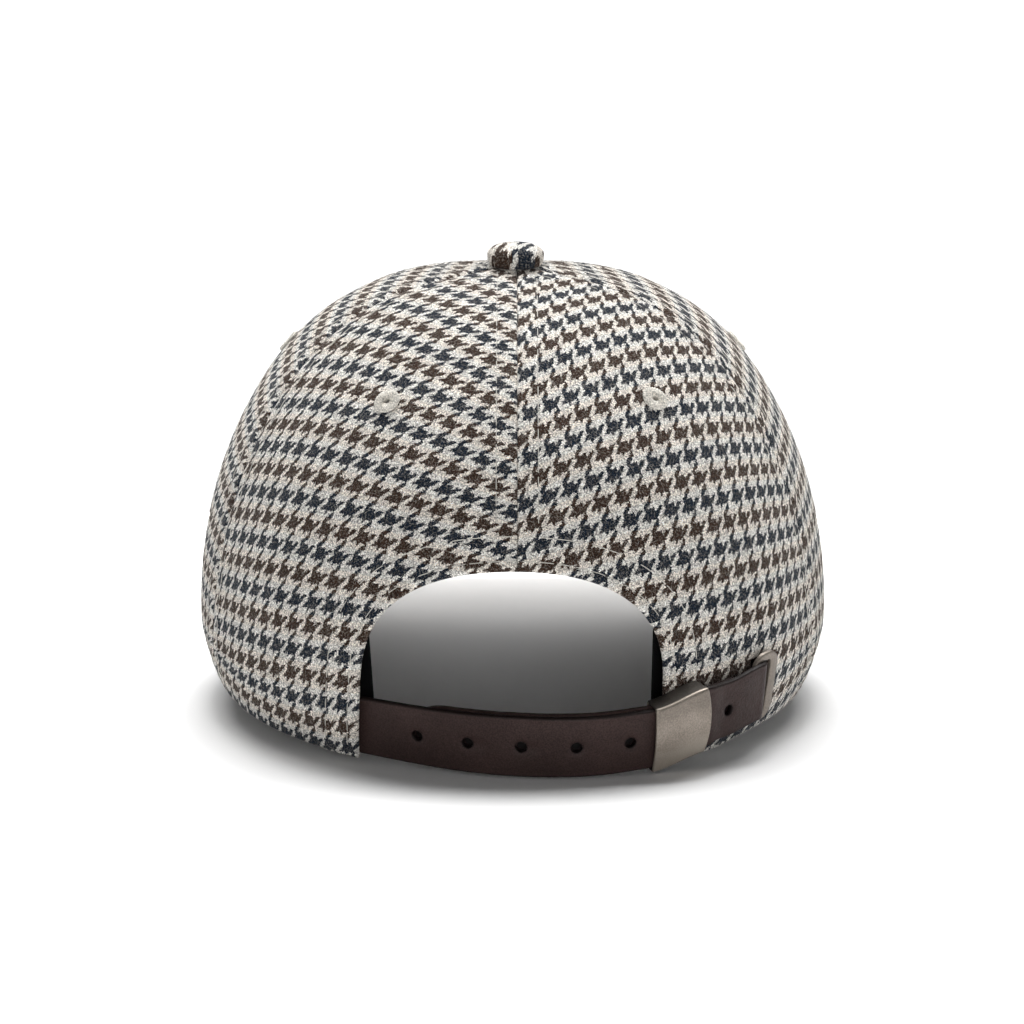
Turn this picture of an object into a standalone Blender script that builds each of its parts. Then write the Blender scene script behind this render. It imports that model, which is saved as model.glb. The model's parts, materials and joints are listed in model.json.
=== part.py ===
"""Six-panel tweed baseball cap with a leather back strap, standing on its visor and back rim.

Metres, +Z up, visor towards -Y, back opening towards +Y. The pieces are modelled in the cap's
own frame, whose XY plane is the rim, under one empty that leans the cap back onto the floor.
An angle round the crown starts at the centre back and grows towards -X (the wearer's right).
"""
import math

import bmesh
import bpy
from mathutils import Matrix, Vector

FIT_GAP = 0.0003              # between pieces that touch
LEAN = 5.03                   # degrees back, when the visor's sides and the strap touch the floor

# Crown, on the outside of the cloth.
HALF_WIDTH = 0.084
HALF_LENGTH_BACK = 0.101
HALF_LENGTH_FRONT = 0.098
CROWN_HEIGHT = 0.113
PLAN_POWER = 2.1              # superellipse power of the rim's plan
CROWN_PROFILE = {             # plan power, height power, swell as a share of the radius
    "back": (2.30, 2.33, 0.025),
    "side": (2.87, 2.55, 0.058),
    "front": (2.30, 1.85, 0.025),
}
SWELL_HEIGHT = 0.15           # height of the widest place, as a share of the crown's height
CLOTH_WALL = 0.0020
SEAM_GAP = 0.0009             # between neighbouring panels, on the outside
GORE = 0.0014                 # how far a panel swells between its two seams
FRONT_RISE = 0.008            # the rim rises this much over the forehead
TOP_HOLE_RADIUS = 0.0034      # where the panels end under the button
SIDE_SEAM = 70.0              # degrees from the centre back
FRONT_SEAM = 125.0
PANELS = (                    # name, first seam, second seam, columns of faces
    ("panel_back", 0.0, SIDE_SEAM, 12),
    ("panel_side", SIDE_SEAM, FRONT_SEAM, 10),
    ("panel_front", FRONT_SEAM, 180.0, 10),
)
PANEL_ROWS = 16
ROW_CROWDING = 1.25           # above 1 the rows are closer together near the rim
MERIDIAN_STEPS = 240          # fine steps that the rows are measured along

# Back opening: upright sides, then a superellipse over them.
ARCH_HALF_WIDTH = 0.0400
ARCH_SPRING = 0.0223
ARCH_RISE = 0.0311
ARCH_POWER = 2.35
ARCH_STEPS = 28
ARCH_BELOW = -0.02            # the cutter goes down to here
ARCH_REACH = 0.10             # and this far through, about the back of the rim

# Visor.
VISOR_SPREAD = 66.0           # degrees each side of the centre front
VISOR_HALF_WIDTH = 0.0775
VISOR_REACH = 0.167           # from the cap's axis to the visor's front edge
VISOR_POWER = 2.3
VISOR_WALL = 0.0032
VISOR_CENTRE_LOW = -0.002     # height of its front edge over the rim plane
VISOR_SIDE_LOW = -0.020       # height of its drooping side edges
VISOR_DROOP_RUN = 0.075       # the droop is complete this far in front of its corners
VISOR_INSET = 0.0005          # its sewn edge lies this far inside the rim
VISOR_END = 0.985             # share of the spread at which its corners are cut off
VISOR_COLUMNS = 32
VISOR_ROWS = 8

# Top button: a domed disc on a short stem.
BUTTON_RADIUS = 0.0080
BUTTON_HEIGHT = 0.0056
BUTTON_EDGE = 0.0008
BUTTON_ROUNDNESS = 0.8        # power of the dome: below 1 it is fuller than a sphere
BUTTON_GAP = 0.0005
BUTTON_STEM_RADIUS = 0.0023
BUTTON_STEM = 0.0040
BUTTON_SIDES = 28

# Eyelets, one in each panel.
EYELET_HEIGHT = 0.090
EYELETS = (                   # name, degrees from the centre back
    ("back_right", 37.6),
    ("side_right", 97.5),
    ("front_right", 152.5),
    ("back_left", -33.4),
    ("side_left", -97.5),
    ("front_left", -152.5),
)
EYELET_FLANGE_RADIUS = 0.0040
EYELET_FLANGE = 0.0008
EYELET_ROUNDING = 0.0006
EYELET_BARREL_RADIUS = 0.0019
EYELET_BORE_RADIUS = 0.0011
EYELET_HOLE_RADIUS = 0.0022
EYELET_SIDES = 16

# Sweatband, a straight band inside the rim, open at the back.
BAND_LOW = 0.0010             # its lower edge over the rim
BAND_TOP = 0.036
BAND_WALL = 0.0012
BAND_INSET = -0.0027          # its upper edge's offset from the crown's face
BAND_TABLE = (                # degrees, its lower edge's offset: it passes inside the strap's ends
    (25.9, -0.0027),
    (41.0, -0.0027),
    (47.0, -0.0055),
    (61.0, -0.0055),
    (67.0, -0.0027),
    (316.0, -0.0027),
    (322.0, -0.0055),
    (333.3, -0.0055),
)
BAND_STEP = 4.0

# Leather strap and its underlay. An offset is that of the leather's middle from the crown's face,
# a height is that of its middle line over the rim plane.
STRAP_WIDTH = 0.0170
STRAP_WALL = 0.0018
STRAP_TABLE = (               # degrees, offset, height
    (-34.0, -0.0036, 0.0089),
    (-27.0, -0.0036, 0.0089),
    (14.0, 0.0056, 0.0090),
    (21.0, 0.0059, 0.0094),
    (32.4, 0.0057, 0.0128),
    (36.5, 0.0048, 0.0129),
    (45.0, 0.0043, 0.0126),
    (52.0, -0.0036, 0.0122),
    (60.0, -0.0036, 0.0119),
)
STRAP_STEP = 1.0              # degrees between cross-sections
UNDERLAY_DEPTH = 0.0021       # its middle lies this far under the strap's middle
UNDERLAY_ENDS = (-15.8, 39.5)
UNDERLAY_ROUNDED = 2.5        # degrees over which its free end is rounded
HOLE_RADIUS = 0.0015
HOLE_SIDES = 12
HOLE_PITCH = 0.0143
FIRST_HOLE = -0.0263          # arc length from the centre back
HOLE_COUNT = 6
TIP_HOLE = 0.0625

# Metal sleeve that holds the strap and its underlay together.
SLEEVE_ENDS = (22.2, 31.6)
SLEEVE_FACE = 0.0009          # thickness of the front and back walls
SLEEVE_EDGE = 0.0004          # thickness of the top and bottom walls

# Framed slot that takes the strap's tip.
SLOT_ANGLE = 47.9
SLOT_HEIGHT = 0.0124          # of its middle over the rim plane
SLOT_OPENING = (0.0078, 0.0178)
SLOT_CORNER = 0.0006
FRAME_SIZE = (0.0124, 0.0212)
FRAME_CENTRE = (0.0001, 0.0004)   # from the slot's middle
FRAME_PLATE = 0.0011
FRAME_CORNER = 0.0032
CLOTH_SLOT = (0.0100, 0.0196)
CLOTH_SLOT_CENTRE = (0.0013, 0.0)

COLOURS = {                   # base colour, roughness, metallic
    "cloth": ((0.50, 0.46, 0.41), 0.95, 0.0),
    "thread": ((0.72, 0.69, 0.62), 0.85, 0.0),
    "leather": ((0.055, 0.032, 0.028), 0.50, 0.0),
    "metal": ((0.40, 0.37, 0.33), 0.38, 1.0),
    "band": ((0.02, 0.02, 0.024), 0.90, 0.0),
}


# ---------------------------------------------------------------- the crown's surface

def signed_power(value, power):
    return math.copysign(abs(value) ** power, value)


def ease(start, end, share):
    """A smooth step from start to end."""
    share = min(max(share, 0.0), 1.0)
    return start + (end - start) * (1.0 - math.cos(math.pi * share)) / 2.0


def from_table(table, angle, column=1):
    """Reads a column of a table against its angle, with a smooth step between rows."""
    if angle <= table[0][0]:
        return table[0][column]
    for low, high in zip(table, table[1:]):
        if angle <= high[0]:
            return ease(low[column], high[column], (angle - low[0]) / (high[0] - low[0]))
    return table[-1][column]


def from_back(degrees):
    """The angle's distance from the centre back, from 0 to 180."""
    return abs((degrees + 180.0) % 360.0 - 180.0)


def swell_at(level):
    """The share of the swell at a level: full at SWELL_HEIGHT, none at the rim and the top."""
    if level < SWELL_HEIGHT:
        return math.sin(math.pi / 2 * level / SWELL_HEIGHT)
    return ease(1.0, 0.0, (level - SWELL_HEIGHT) / (1.0 - SWELL_HEIGHT))


def gore_at(degrees, level):
    """A panel's swelling between its seams, as a share of the radius."""
    angle = from_back(degrees)
    for _, first, second, _ in PANELS:
        if first <= angle <= second:
            across = (angle - first) / (second - first)
            return GORE / HALF_WIDTH * 4 * across * (1 - across) * math.sin(math.pi * level)
    return 0.0


def profile_at(degrees):
    """Plan power, height power and swell at an angle round the crown."""
    cosine, sine = math.cos(math.radians(degrees)), math.sin(math.radians(degrees))
    shares = {"back": max(cosine, 0.0) ** 2, "side": sine ** 2, "front": min(cosine, 0.0) ** 2}
    return [sum(CROWN_PROFILE[k][i] * shares[k] for k in shares) for i in range(3)]


def crown_point(degrees, height):
    """A point on the crown's outer face."""
    plan_power, height_power, swell = profile_at(degrees)
    level = min(max(height / CROWN_HEIGHT, 0.0), 1.0)
    radius = (1.0 - level ** height_power) ** (1.0 / plan_power)
    radius *= 1.0 + swell * swell_at(level) + gore_at(degrees, level)
    cosine, sine = math.cos(math.radians(degrees)), math.sin(math.radians(degrees))
    length = HALF_LENGTH_BACK if cosine > 0 else HALF_LENGTH_FRONT
    x = -HALF_WIDTH * signed_power(sine, 2 / PLAN_POWER) * radius
    y = length * signed_power(cosine, 2 / PLAN_POWER) * radius
    return Vector((x, y, height))


def crown_frame(degrees, height, turn=0.25, rise=0.0004):
    """Axes on the crown's face: X along the rim, Y up the face, Z out of it."""
    along = crown_point(degrees + turn, height) - crown_point(degrees - turn, height)
    up = crown_point(degrees, height + rise) - crown_point(degrees, max(height - rise, 0.0))
    out = along.cross(up).normalized()
    along.normalize()
    frame = Matrix((along, out.cross(along), out)).transposed().to_4x4()
    frame.translation = crown_point(degrees, height)
    return frame


def beside_crown(degrees, height, offset, turn=1.5):
    """A point level with the crown's face and this far outside it."""
    along = crown_point(degrees + turn, height) - crown_point(degrees - turn, height)
    out = Vector((along.y, -along.x, 0.0)).normalized()
    return crown_point(degrees, height) + out * offset


def rim_height(degrees):
    """The rim is level but for its rise over the forehead."""
    start = 180.0 - VISOR_SPREAD
    return ease(0.0, FRONT_RISE, (from_back(degrees) - start) / VISOR_SPREAD)


def meridian(degrees, rows):
    """Points up the crown from the rim to the button, evenly apart but for ROW_CROWDING."""
    _, height_power, _ = profile_at(degrees)
    start = math.asin((rim_height(degrees) / CROWN_HEIGHT) ** (height_power / 2))
    line, lengths = [crown_point(degrees, rim_height(degrees))], [0.0]
    for step in range(1, MERIDIAN_STEPS):
        turn = start + (math.pi / 2 - start) * step / MERIDIAN_STEPS
        point = crown_point(degrees, CROWN_HEIGHT * math.sin(turn) ** (2 / height_power))
        before, after = line[-1].xy.length, point.xy.length
        if after < TOP_HOLE_RADIUS:
            point = line[-1].lerp(point, (before - TOP_HOLE_RADIUS) / (before - after))
        lengths.append(lengths[-1] + (point - line[-1]).length)
        line.append(point)
        if after < TOP_HOLE_RADIUS:
            break
    points, at = [], 0
    for row in range(rows + 1):
        wanted = lengths[-1] * (row / rows) ** ROW_CROWDING
        while at < len(lengths) - 2 and lengths[at + 1] < wanted:
            at += 1
        share = (wanted - lengths[at]) / (lengths[at + 1] - lengths[at])
        points.append(line[at].lerp(line[at + 1], min(share, 1.0)))
    return points


# ---------------------------------------------------------------- Blender helpers

def clear_scene():
    for item in list(bpy.data.objects):
        bpy.data.objects.remove(item, do_unlink=True)


def new_collection(name):
    made = bpy.data.collections.new(name)
    bpy.context.scene.collection.children.link(made)
    return made


def new_material(name, look):
    colour, roughness, metallic = COLOURS[look]
    made = bpy.data.materials.new(name)
    made.use_nodes = True
    shader = made.node_tree.nodes["Principled BSDF"]
    shader.inputs["Base Color"].default_value = (*colour, 1.0)
    shader.inputs["Roughness"].default_value = roughness
    shader.inputs["Metallic"].default_value = metallic
    made.diffuse_color = (*colour, 1.0)
    return made


class Cap:
    """The pieces and the cutters, all placed under one empty that leans with the cap."""

    def __init__(self):
        self.parts = new_collection("baseball_cap")
        self.tools = new_collection("cutters")
        self.seat = bpy.data.objects.new("cap_seat", None)
        self.seat.rotation_euler.x = -math.radians(LEAN)
        self.parts.objects.link(self.seat)

    def place(self, collection, name, mesh, frame):
        item = bpy.data.objects.new(name, mesh)
        collection.objects.link(item)
        item.parent = self.seat
        item.matrix_local = frame
        return item

    def add(self, name, mesh, look, frame=Matrix()):
        """A named piece with its own material."""
        piece = self.place(self.parts, name, mesh, frame)
        piece.data.materials.append(new_material(name, look))
        return piece

    def tool(self, name, mesh, frame=Matrix()):
        """A cutter, which is hidden."""
        cutter = self.place(self.tools, name, mesh, frame)
        cutter.hide_render = True
        cutter.display_type = "WIRE"
        return cutter


def mesh_from(name, bm):
    mesh = bpy.data.meshes.new(name)
    bm.to_mesh(mesh)
    bm.free()
    mesh.shade_smooth()
    mesh.set_sharp_from_angle(angle=math.radians(35))
    return mesh


def grid_mesh(name, rows):
    """An open surface through rows of points. It faces the side from which the points of a row
    run to the right and the next row lies above."""
    bm = bmesh.new()
    verts = [[bm.verts.new(point) for point in row] for row in rows]
    for low, high in zip(verts, verts[1:]):
        for i in range(len(low) - 1):
            bm.faces.new((low[i], low[i + 1], high[i + 1], high[i]))
    return mesh_from(name, bm)


def profile_mesh(name, profile, closed=False):
    """A line of (radius, height) points for a Screw modifier."""
    bm = bmesh.new()
    line = [bm.verts.new((radius, 0.0, height)) for radius, height in profile]
    for first, second in zip(line, line[1:] + line[:1] if closed else line[1:]):
        bm.edges.new((first, second))
    return mesh_from(name, bm)


def cylinder_mesh(name, radius, depth, sides):
    bm = bmesh.new()
    bmesh.ops.create_cone(bm, cap_ends=True, segments=sides, radius1=radius, radius2=radius,
                          depth=depth)
    return mesh_from(name, bm)


def plate_mesh(name, loops, thickness):
    """A flat plate from closed outlines in XY: the first is its edge, the rest its holes."""
    curve = bpy.data.curves.new(name, "CURVE")
    curve.dimensions = "2D"
    curve.fill_mode = "BOTH"
    curve.extrude = thickness / 2
    for loop in loops:
        spline = curve.splines.new("POLY")
        spline.points.add(len(loop) - 1)
        for point, (x, y) in zip(spline.points, loop):
            point.co = (x, y, 0.0, 1.0)
        spline.use_cyclic_u = True
    outline = bpy.data.objects.new(name, curve)
    bpy.context.scene.collection.objects.link(outline)
    graph = bpy.context.evaluated_depsgraph_get()
    bm = bmesh.new()
    bm.from_mesh(bpy.data.meshes.new_from_object(outline.evaluated_get(graph)))
    bpy.data.objects.remove(outline, do_unlink=True)
    bmesh.ops.remove_doubles(bm, verts=bm.verts, dist=0.00001)
    bmesh.ops.recalc_face_normals(bm, faces=bm.faces)
    return mesh_from(name, bm)


def rounded_loop(size, corner, centre=(0.0, 0.0), steps=4):
    """A rectangle with round corners."""
    loop = []
    for quarter, (right, up) in enumerate(((1, 1), (-1, 1), (-1, -1), (1, -1))):
        corner_x = centre[0] + right * (size[0] / 2 - corner)
        corner_y = centre[1] + up * (size[1] / 2 - corner)
        for step in range(steps + 1):
            turn = math.pi / 2 * (quarter + step / steps)
            loop.append((corner_x + corner * math.cos(turn), corner_y + corner * math.sin(turn)))
    return loop


def add_wall(piece, thickness):
    """Thickens an open surface inwards."""
    wall = piece.modifiers.new("wall", "SOLIDIFY")
    wall.thickness = thickness
    wall.offset = -1.0
    wall.use_even_offset = True


def add_turning(piece, sides):
    turning = piece.modifiers.new("turning", "SCREW")
    turning.steps = sides
    turning.render_steps = sides
    turning.use_merge_vertices = True
    turning.merge_threshold = 0.00002
    turning.use_smooth_shade = True


def cut(piece, cutter):
    hole = piece.modifiers.new(cutter.name, "BOOLEAN")
    hole.operation = "DIFFERENCE"
    hole.solver = "EXACT"
    hole.object = cutter


# ---------------------------------------------------------------- crown

def pull_in(row, gap):
    """Shortens a row of points by the gap, half at each end, keeping its points in step."""
    width = sum((b - a).length for a, b in zip(row, row[1:]))
    columns = len(row) - 1
    pulled = []
    for column in range(columns + 1):
        at = columns / 2 + (column - columns / 2) * (1 - gap / width)
        low = min(int(at), columns - 1)
        pulled.append(row[low].lerp(row[low + 1], at - low))
    return pulled


def panel_mesh(name, first, second, columns):
    """One gore of the crown, from the rim to the hole under the button."""
    lines = [meridian(first + (second - first) * column / columns, PANEL_ROWS)
             for column in range(columns + 1)]
    rows = [pull_in([line[row] for line in lines], SEAM_GAP) for row in range(PANEL_ROWS + 1)]
    return grid_mesh(name, rows)


def build_panels(cap):
    panels = {}
    for side in ("right", "left"):
        for name, first, second, columns in PANELS:
            node = f"{name}_{side}"
            ends = (first, second) if side == "right" else (-second, -first)
            panels[node] = cap.add(node, panel_mesh(node, *ends, columns), "cloth")
            add_wall(panels[node], CLOTH_WALL)
    return panels


def cut_arch(cap, panels):
    """The back opening, cut through both back panels by one tall prism."""
    outline = [(ARCH_HALF_WIDTH, ARCH_BELOW)]
    for step in range(ARCH_STEPS + 1):
        turn = math.pi * step / ARCH_STEPS
        outline.append((ARCH_HALF_WIDTH * signed_power(math.cos(turn), 2 / ARCH_POWER),
                        ARCH_SPRING + ARCH_RISE * abs(math.sin(turn)) ** (2 / ARCH_POWER)))
    outline.append((-ARCH_HALF_WIDTH, ARCH_BELOW))
    upright = Matrix.Translation((0, HALF_LENGTH_BACK, 0)) @ Matrix.Rotation(math.pi / 2, 4, "X")
    cutter = cap.tool("arch", plate_mesh("arch", [outline], ARCH_REACH), upright)
    for side in ("right", "left"):
        cut(panels[f"panel_back_{side}"], cutter)


def build_button(cap):
    """A dome with a turned edge, on a stem that goes down between the panels' tips."""
    profile = [(0.0, BUTTON_HEIGHT)]
    for step in range(1, 9):
        turn = math.pi / 2 * step / 8
        radius = BUTTON_RADIUS * math.sin(turn) ** BUTTON_ROUNDNESS
        rise = (BUTTON_HEIGHT - BUTTON_EDGE) * max(math.cos(turn), 0.0) ** BUTTON_ROUNDNESS
        profile.append((radius, BUTTON_EDGE + rise))
    profile += [(BUTTON_RADIUS - BUTTON_EDGE, 0.0), (BUTTON_STEM_RADIUS, 0.0),
                (BUTTON_STEM_RADIUS, -BUTTON_STEM), (0.0, -BUTTON_STEM)]
    frame = Matrix.Translation((0.0, 0.0, CROWN_HEIGHT + BUTTON_GAP))
    button = cap.add("top_button", profile_mesh("top_button", profile), "cloth", frame)
    add_turning(button, BUTTON_SIDES)


def build_eyelets(cap, panels):
    """A ring in each panel: a flange on the cloth and a barrel through it."""
    foot = -CLOTH_WALL - FIT_GAP
    face = FIT_GAP + EYELET_FLANGE
    profile = [(EYELET_BORE_RADIUS + EYELET_ROUNDING, face),
               (EYELET_FLANGE_RADIUS - EYELET_ROUNDING, face),
               (EYELET_FLANGE_RADIUS, face - EYELET_ROUNDING),
               (EYELET_FLANGE_RADIUS, FIT_GAP),
               (EYELET_BARREL_RADIUS, FIT_GAP),
               (EYELET_BARREL_RADIUS, foot),
               (EYELET_BORE_RADIUS, foot),
               (EYELET_BORE_RADIUS, face - EYELET_ROUNDING)]
    for panel, degrees in EYELETS:
        name = f"eyelet_{panel}"
        frame = crown_frame(degrees, EYELET_HEIGHT)
        eyelet = cap.add(name, profile_mesh(name, profile, closed=True), "thread", frame)
        add_turning(eyelet, EYELET_SIDES)
        drill = cylinder_mesh(name, EYELET_HOLE_RADIUS, 4 * CLOTH_WALL, EYELET_SIDES)
        cut(panels[f"panel_{panel}"], cap.tool("hole_" + name, drill, frame))


# ---------------------------------------------------------------- visor and sweatband

def visor_inner(across):
    """The visor's sewn edge under the front rim, from one corner (-1) to the other (1)."""
    degrees = 180.0 + VISOR_SPREAD * across
    edge = crown_point(degrees, rim_height(degrees))
    edge.xy *= 1.0 - VISOR_INSET / edge.xy.length
    return edge


def visor_outer(across):
    """The visor's free edge, which droops at its sides."""
    turn = math.pi / 2 * across
    corner_y = visor_inner(1.0).y
    x = VISOR_HALF_WIDTH * signed_power(math.sin(turn), 2 / VISOR_POWER)
    y = corner_y - (VISOR_REACH + corner_y) * math.cos(turn) ** (2 / VISOR_POWER)
    droop = ease(0.0, 1.0, (corner_y - y) / VISOR_DROOP_RUN)
    side = (x / VISOR_HALF_WIDTH) ** 2
    return Vector((x, y, droop * (VISOR_CENTRE_LOW + (VISOR_SIDE_LOW - VISOR_CENTRE_LOW) * side)))


def build_visor(cap):
    """A curved board whose columns of faces crowd towards its corners."""
    ends = [VISOR_END * math.sin(math.pi / 2 * (2 * column / VISOR_COLUMNS - 1))
            for column in range(VISOR_COLUMNS + 1)]
    rows = [[visor_outer(across).lerp(visor_inner(across), row / VISOR_ROWS) for across in ends]
            for row in range(VISOR_ROWS + 1)]
    visor = cap.add("visor", grid_mesh("visor", rows), "cloth",
                    Matrix.Translation((0.0, 0.0, -FIT_GAP)))
    add_wall(visor, VISOR_WALL)


def build_sweatband(cap):
    start, end = BAND_TABLE[0][0], BAND_TABLE[-1][0]
    columns = round((end - start) / BAND_STEP)
    angles = [start + (end - start) * column / columns for column in range(columns + 1)]
    low = [beside_crown(a, rim_height(a) + BAND_LOW, from_table(BAND_TABLE, a)) for a in angles]
    high = [beside_crown(a, BAND_TOP, BAND_INSET) for a in angles]
    add_wall(cap.add("sweatband", grid_mesh("sweatband", [low, high]), "band"), BAND_WALL)


# ---------------------------------------------------------------- strap

def strap_middle(degrees):
    """The strap's middle, between the two heights of its edges on the crown, and its way up."""
    height, offset = from_table(STRAP_TABLE, degrees, 2), from_table(STRAP_TABLE, degrees)
    foot = beside_crown(degrees, height - STRAP_WIDTH / 2, offset)
    head = beside_crown(degrees, height + STRAP_WIDTH / 2, offset)
    return (foot + head) / 2, (head - foot).normalized()


def strap_frame(degrees, turn=0.5):
    """Axes in the strap: X along it, Y up and Z out of its face."""
    middle, up = strap_middle(degrees)
    along = (strap_middle(degrees + turn)[0] - strap_middle(degrees - turn)[0]).normalized()
    out = along.cross(up).normalized()
    frame = Matrix((up.cross(out), up, out)).transposed().to_4x4()
    frame.translation = middle
    return frame


def strap_point(degrees, up=0.0, out=0.0):
    return strap_frame(degrees) @ Vector((0.0, up, out))


def strap_arc(degrees):
    """The angle's arc length along the strap from the centre back."""
    steps = max(1, round(abs(degrees)))
    line = [strap_point(degrees * step / steps) for step in range(steps + 1)]
    return math.copysign(sum((b - a).length for a, b in zip(line, line[1:])), degrees)


def strap_angle(arc):
    """The angle at an arc length along the strap, by halving."""
    low, high = STRAP_TABLE[0][0], STRAP_TABLE[-1][0]
    for _ in range(24):
        middle = (low + high) / 2
        if strap_arc(middle) < arc:
            low = middle
        else:
            high = middle
    return low


def band_between(name, ends, half_width, out, extra=0.0):
    """A straight-sided band along the strap's line, between two angles."""
    start, end = ends[0] - extra, ends[1] + extra
    columns = max(2, round((end - start) / STRAP_STEP))
    angles = [start + (end - start) * column / columns for column in range(columns + 1)]
    return grid_mesh(name, [[strap_point(a, up, out) for a in angles]
                            for up in (-half_width, half_width)])


def build_strap(cap):
    """The long strap, from inside the left panel through the sleeve and into the slot."""
    ends = (STRAP_TABLE[0][0], STRAP_TABLE[-1][0])
    mesh = band_between("strap", ends, STRAP_WIDTH / 2, STRAP_WALL / 2)
    strap = cap.add("strap", mesh, "leather")
    add_wall(strap, STRAP_WALL)
    arcs = [FIRST_HOLE + HOLE_PITCH * number for number in range(HOLE_COUNT)] + [TIP_HOLE]
    for number, arc in enumerate(arcs, 1):
        name = f"strap_hole_{number}"
        punch = cylinder_mesh(name, HOLE_RADIUS, 2 * STRAP_WALL, HOLE_SIDES)
        cut(strap, cap.tool(name, punch, strap_frame(strap_angle(arc))))


def build_underlay(cap):
    """The short strap under the long one: its free end is round, its other end is sewn down."""
    start, end = UNDERLAY_ENDS
    columns = round((end - start) / STRAP_STEP)
    low, high = [], []
    for column in range(columns + 1):
        degrees = start + (end - start) * column / columns
        left = 1.0 - min((degrees - start) / UNDERLAY_ROUNDED, 1.0)
        half_width = STRAP_WIDTH / 2 * (0.35 + 0.65 * math.sqrt(1.0 - left ** 2))
        out = STRAP_WALL / 2 - UNDERLAY_DEPTH
        low.append(strap_point(degrees, -half_width, out))
        high.append(strap_point(degrees, half_width, out))
    mesh = grid_mesh("strap_underlay", [low, high])
    add_wall(cap.add("strap_underlay", mesh, "leather"), STRAP_WALL)


def build_sleeve(cap):
    """A tube of oblong section, bent with the straps: a block less the space for them."""
    inner_face = STRAP_WALL / 2 + FIT_GAP
    depth = UNDERLAY_DEPTH + STRAP_WALL + 2 * FIT_GAP
    half_width = STRAP_WIDTH / 2 + FIT_GAP
    block = band_between("buckle_sleeve", SLEEVE_ENDS, half_width + SLEEVE_EDGE,
                         inner_face + SLEEVE_FACE)
    sleeve = cap.add("buckle_sleeve", block, "metal")
    add_wall(sleeve, depth + 2 * SLEEVE_FACE)
    space = cap.tool("strap_space", band_between("strap_space", SLEEVE_ENDS, half_width,
                                                 inner_face, extra=STRAP_STEP))
    add_wall(space, depth)
    cut(sleeve, space)


def build_slot_frame(cap, panels):
    """A metal plate with a slot, on the cloth's own slot, which lets the strap's tip in."""
    frame = crown_frame(SLOT_ANGLE, SLOT_HEIGHT)
    loops = [rounded_loop(FRAME_SIZE, FRAME_CORNER, FRAME_CENTRE),
             rounded_loop(SLOT_OPENING, SLOT_CORNER, steps=2)]
    on_cloth = Matrix.Translation((0.0, 0.0, FIT_GAP + FRAME_PLATE / 2))
    cap.add("slot_frame", plate_mesh("slot_frame", loops, FRAME_PLATE), "metal", frame @ on_cloth)
    slot = plate_mesh("slot", [rounded_loop(CLOTH_SLOT, SLOT_CORNER, CLOTH_SLOT_CENTRE, steps=2)],
                      6 * CLOTH_WALL)
    cut(panels["panel_back_right"], cap.tool("slot", slot, frame))


# ---------------------------------------------------------------- standing on the floor

def stand_on_floor(cap):
    """Moves the leaning cap so that its lowest point is on the floor and its box is centred."""
    bpy.context.view_layer.update()
    graph = bpy.context.evaluated_depsgraph_get()
    points = []
    for piece in cap.parts.objects:
        if piece.type == "MESH":
            ready = piece.evaluated_get(graph)
            points += [ready.matrix_world @ vertex.co for vertex in ready.data.vertices]
    low = [min(point[axis] for point in points) for axis in range(3)]
    high = [max(point[axis] for point in points) for axis in range(3)]
    cap.seat.location = (-(low[0] + high[0]) / 2, -(low[1] + high[1]) / 2, -low[2])


def main():
    clear_scene()
    cap = Cap()
    panels = build_panels(cap)
    cut_arch(cap, panels)
    build_button(cap)
    build_eyelets(cap, panels)
    build_visor(cap)
    build_sweatband(cap)
    build_strap(cap)
    build_underlay(cap)
    build_sleeve(cap)
    build_slot_frame(cap, panels)
    stand_on_floor(cap)


main()
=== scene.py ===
"""The looks of the six-panel tweed baseball cap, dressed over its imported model.

Metres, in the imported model's frame. The pieces are worked out in the cap's own frame, whose XY
plane is the rim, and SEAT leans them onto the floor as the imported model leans. An angle round the
crown starts at the centre back and grows towards -X (the wearer's right). A share runs from 0 to 1.
"""
import json
import math

import bpy
import numpy as np
from mathutils import Matrix, Vector, kdtree, noise
from mathutils.bvhtree import BVHTree

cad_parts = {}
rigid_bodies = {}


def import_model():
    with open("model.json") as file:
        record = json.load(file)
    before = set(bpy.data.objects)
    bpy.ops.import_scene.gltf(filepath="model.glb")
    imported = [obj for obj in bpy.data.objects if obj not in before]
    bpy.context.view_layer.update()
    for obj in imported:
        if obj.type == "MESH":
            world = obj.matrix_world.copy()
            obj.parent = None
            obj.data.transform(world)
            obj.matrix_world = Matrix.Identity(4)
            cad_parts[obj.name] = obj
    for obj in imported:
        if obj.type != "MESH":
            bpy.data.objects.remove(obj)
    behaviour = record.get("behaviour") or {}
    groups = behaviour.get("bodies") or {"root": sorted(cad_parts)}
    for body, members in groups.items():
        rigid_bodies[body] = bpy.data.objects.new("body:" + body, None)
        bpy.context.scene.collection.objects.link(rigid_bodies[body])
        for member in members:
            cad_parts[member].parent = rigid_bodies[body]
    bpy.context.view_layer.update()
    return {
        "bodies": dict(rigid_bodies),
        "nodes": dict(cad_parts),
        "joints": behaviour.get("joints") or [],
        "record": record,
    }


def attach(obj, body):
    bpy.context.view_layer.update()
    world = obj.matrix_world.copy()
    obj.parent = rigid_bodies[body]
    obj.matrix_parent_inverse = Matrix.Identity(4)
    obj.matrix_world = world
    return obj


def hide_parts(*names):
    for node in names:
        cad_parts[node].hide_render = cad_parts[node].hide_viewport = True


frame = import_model()

MM = 0.001

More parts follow.
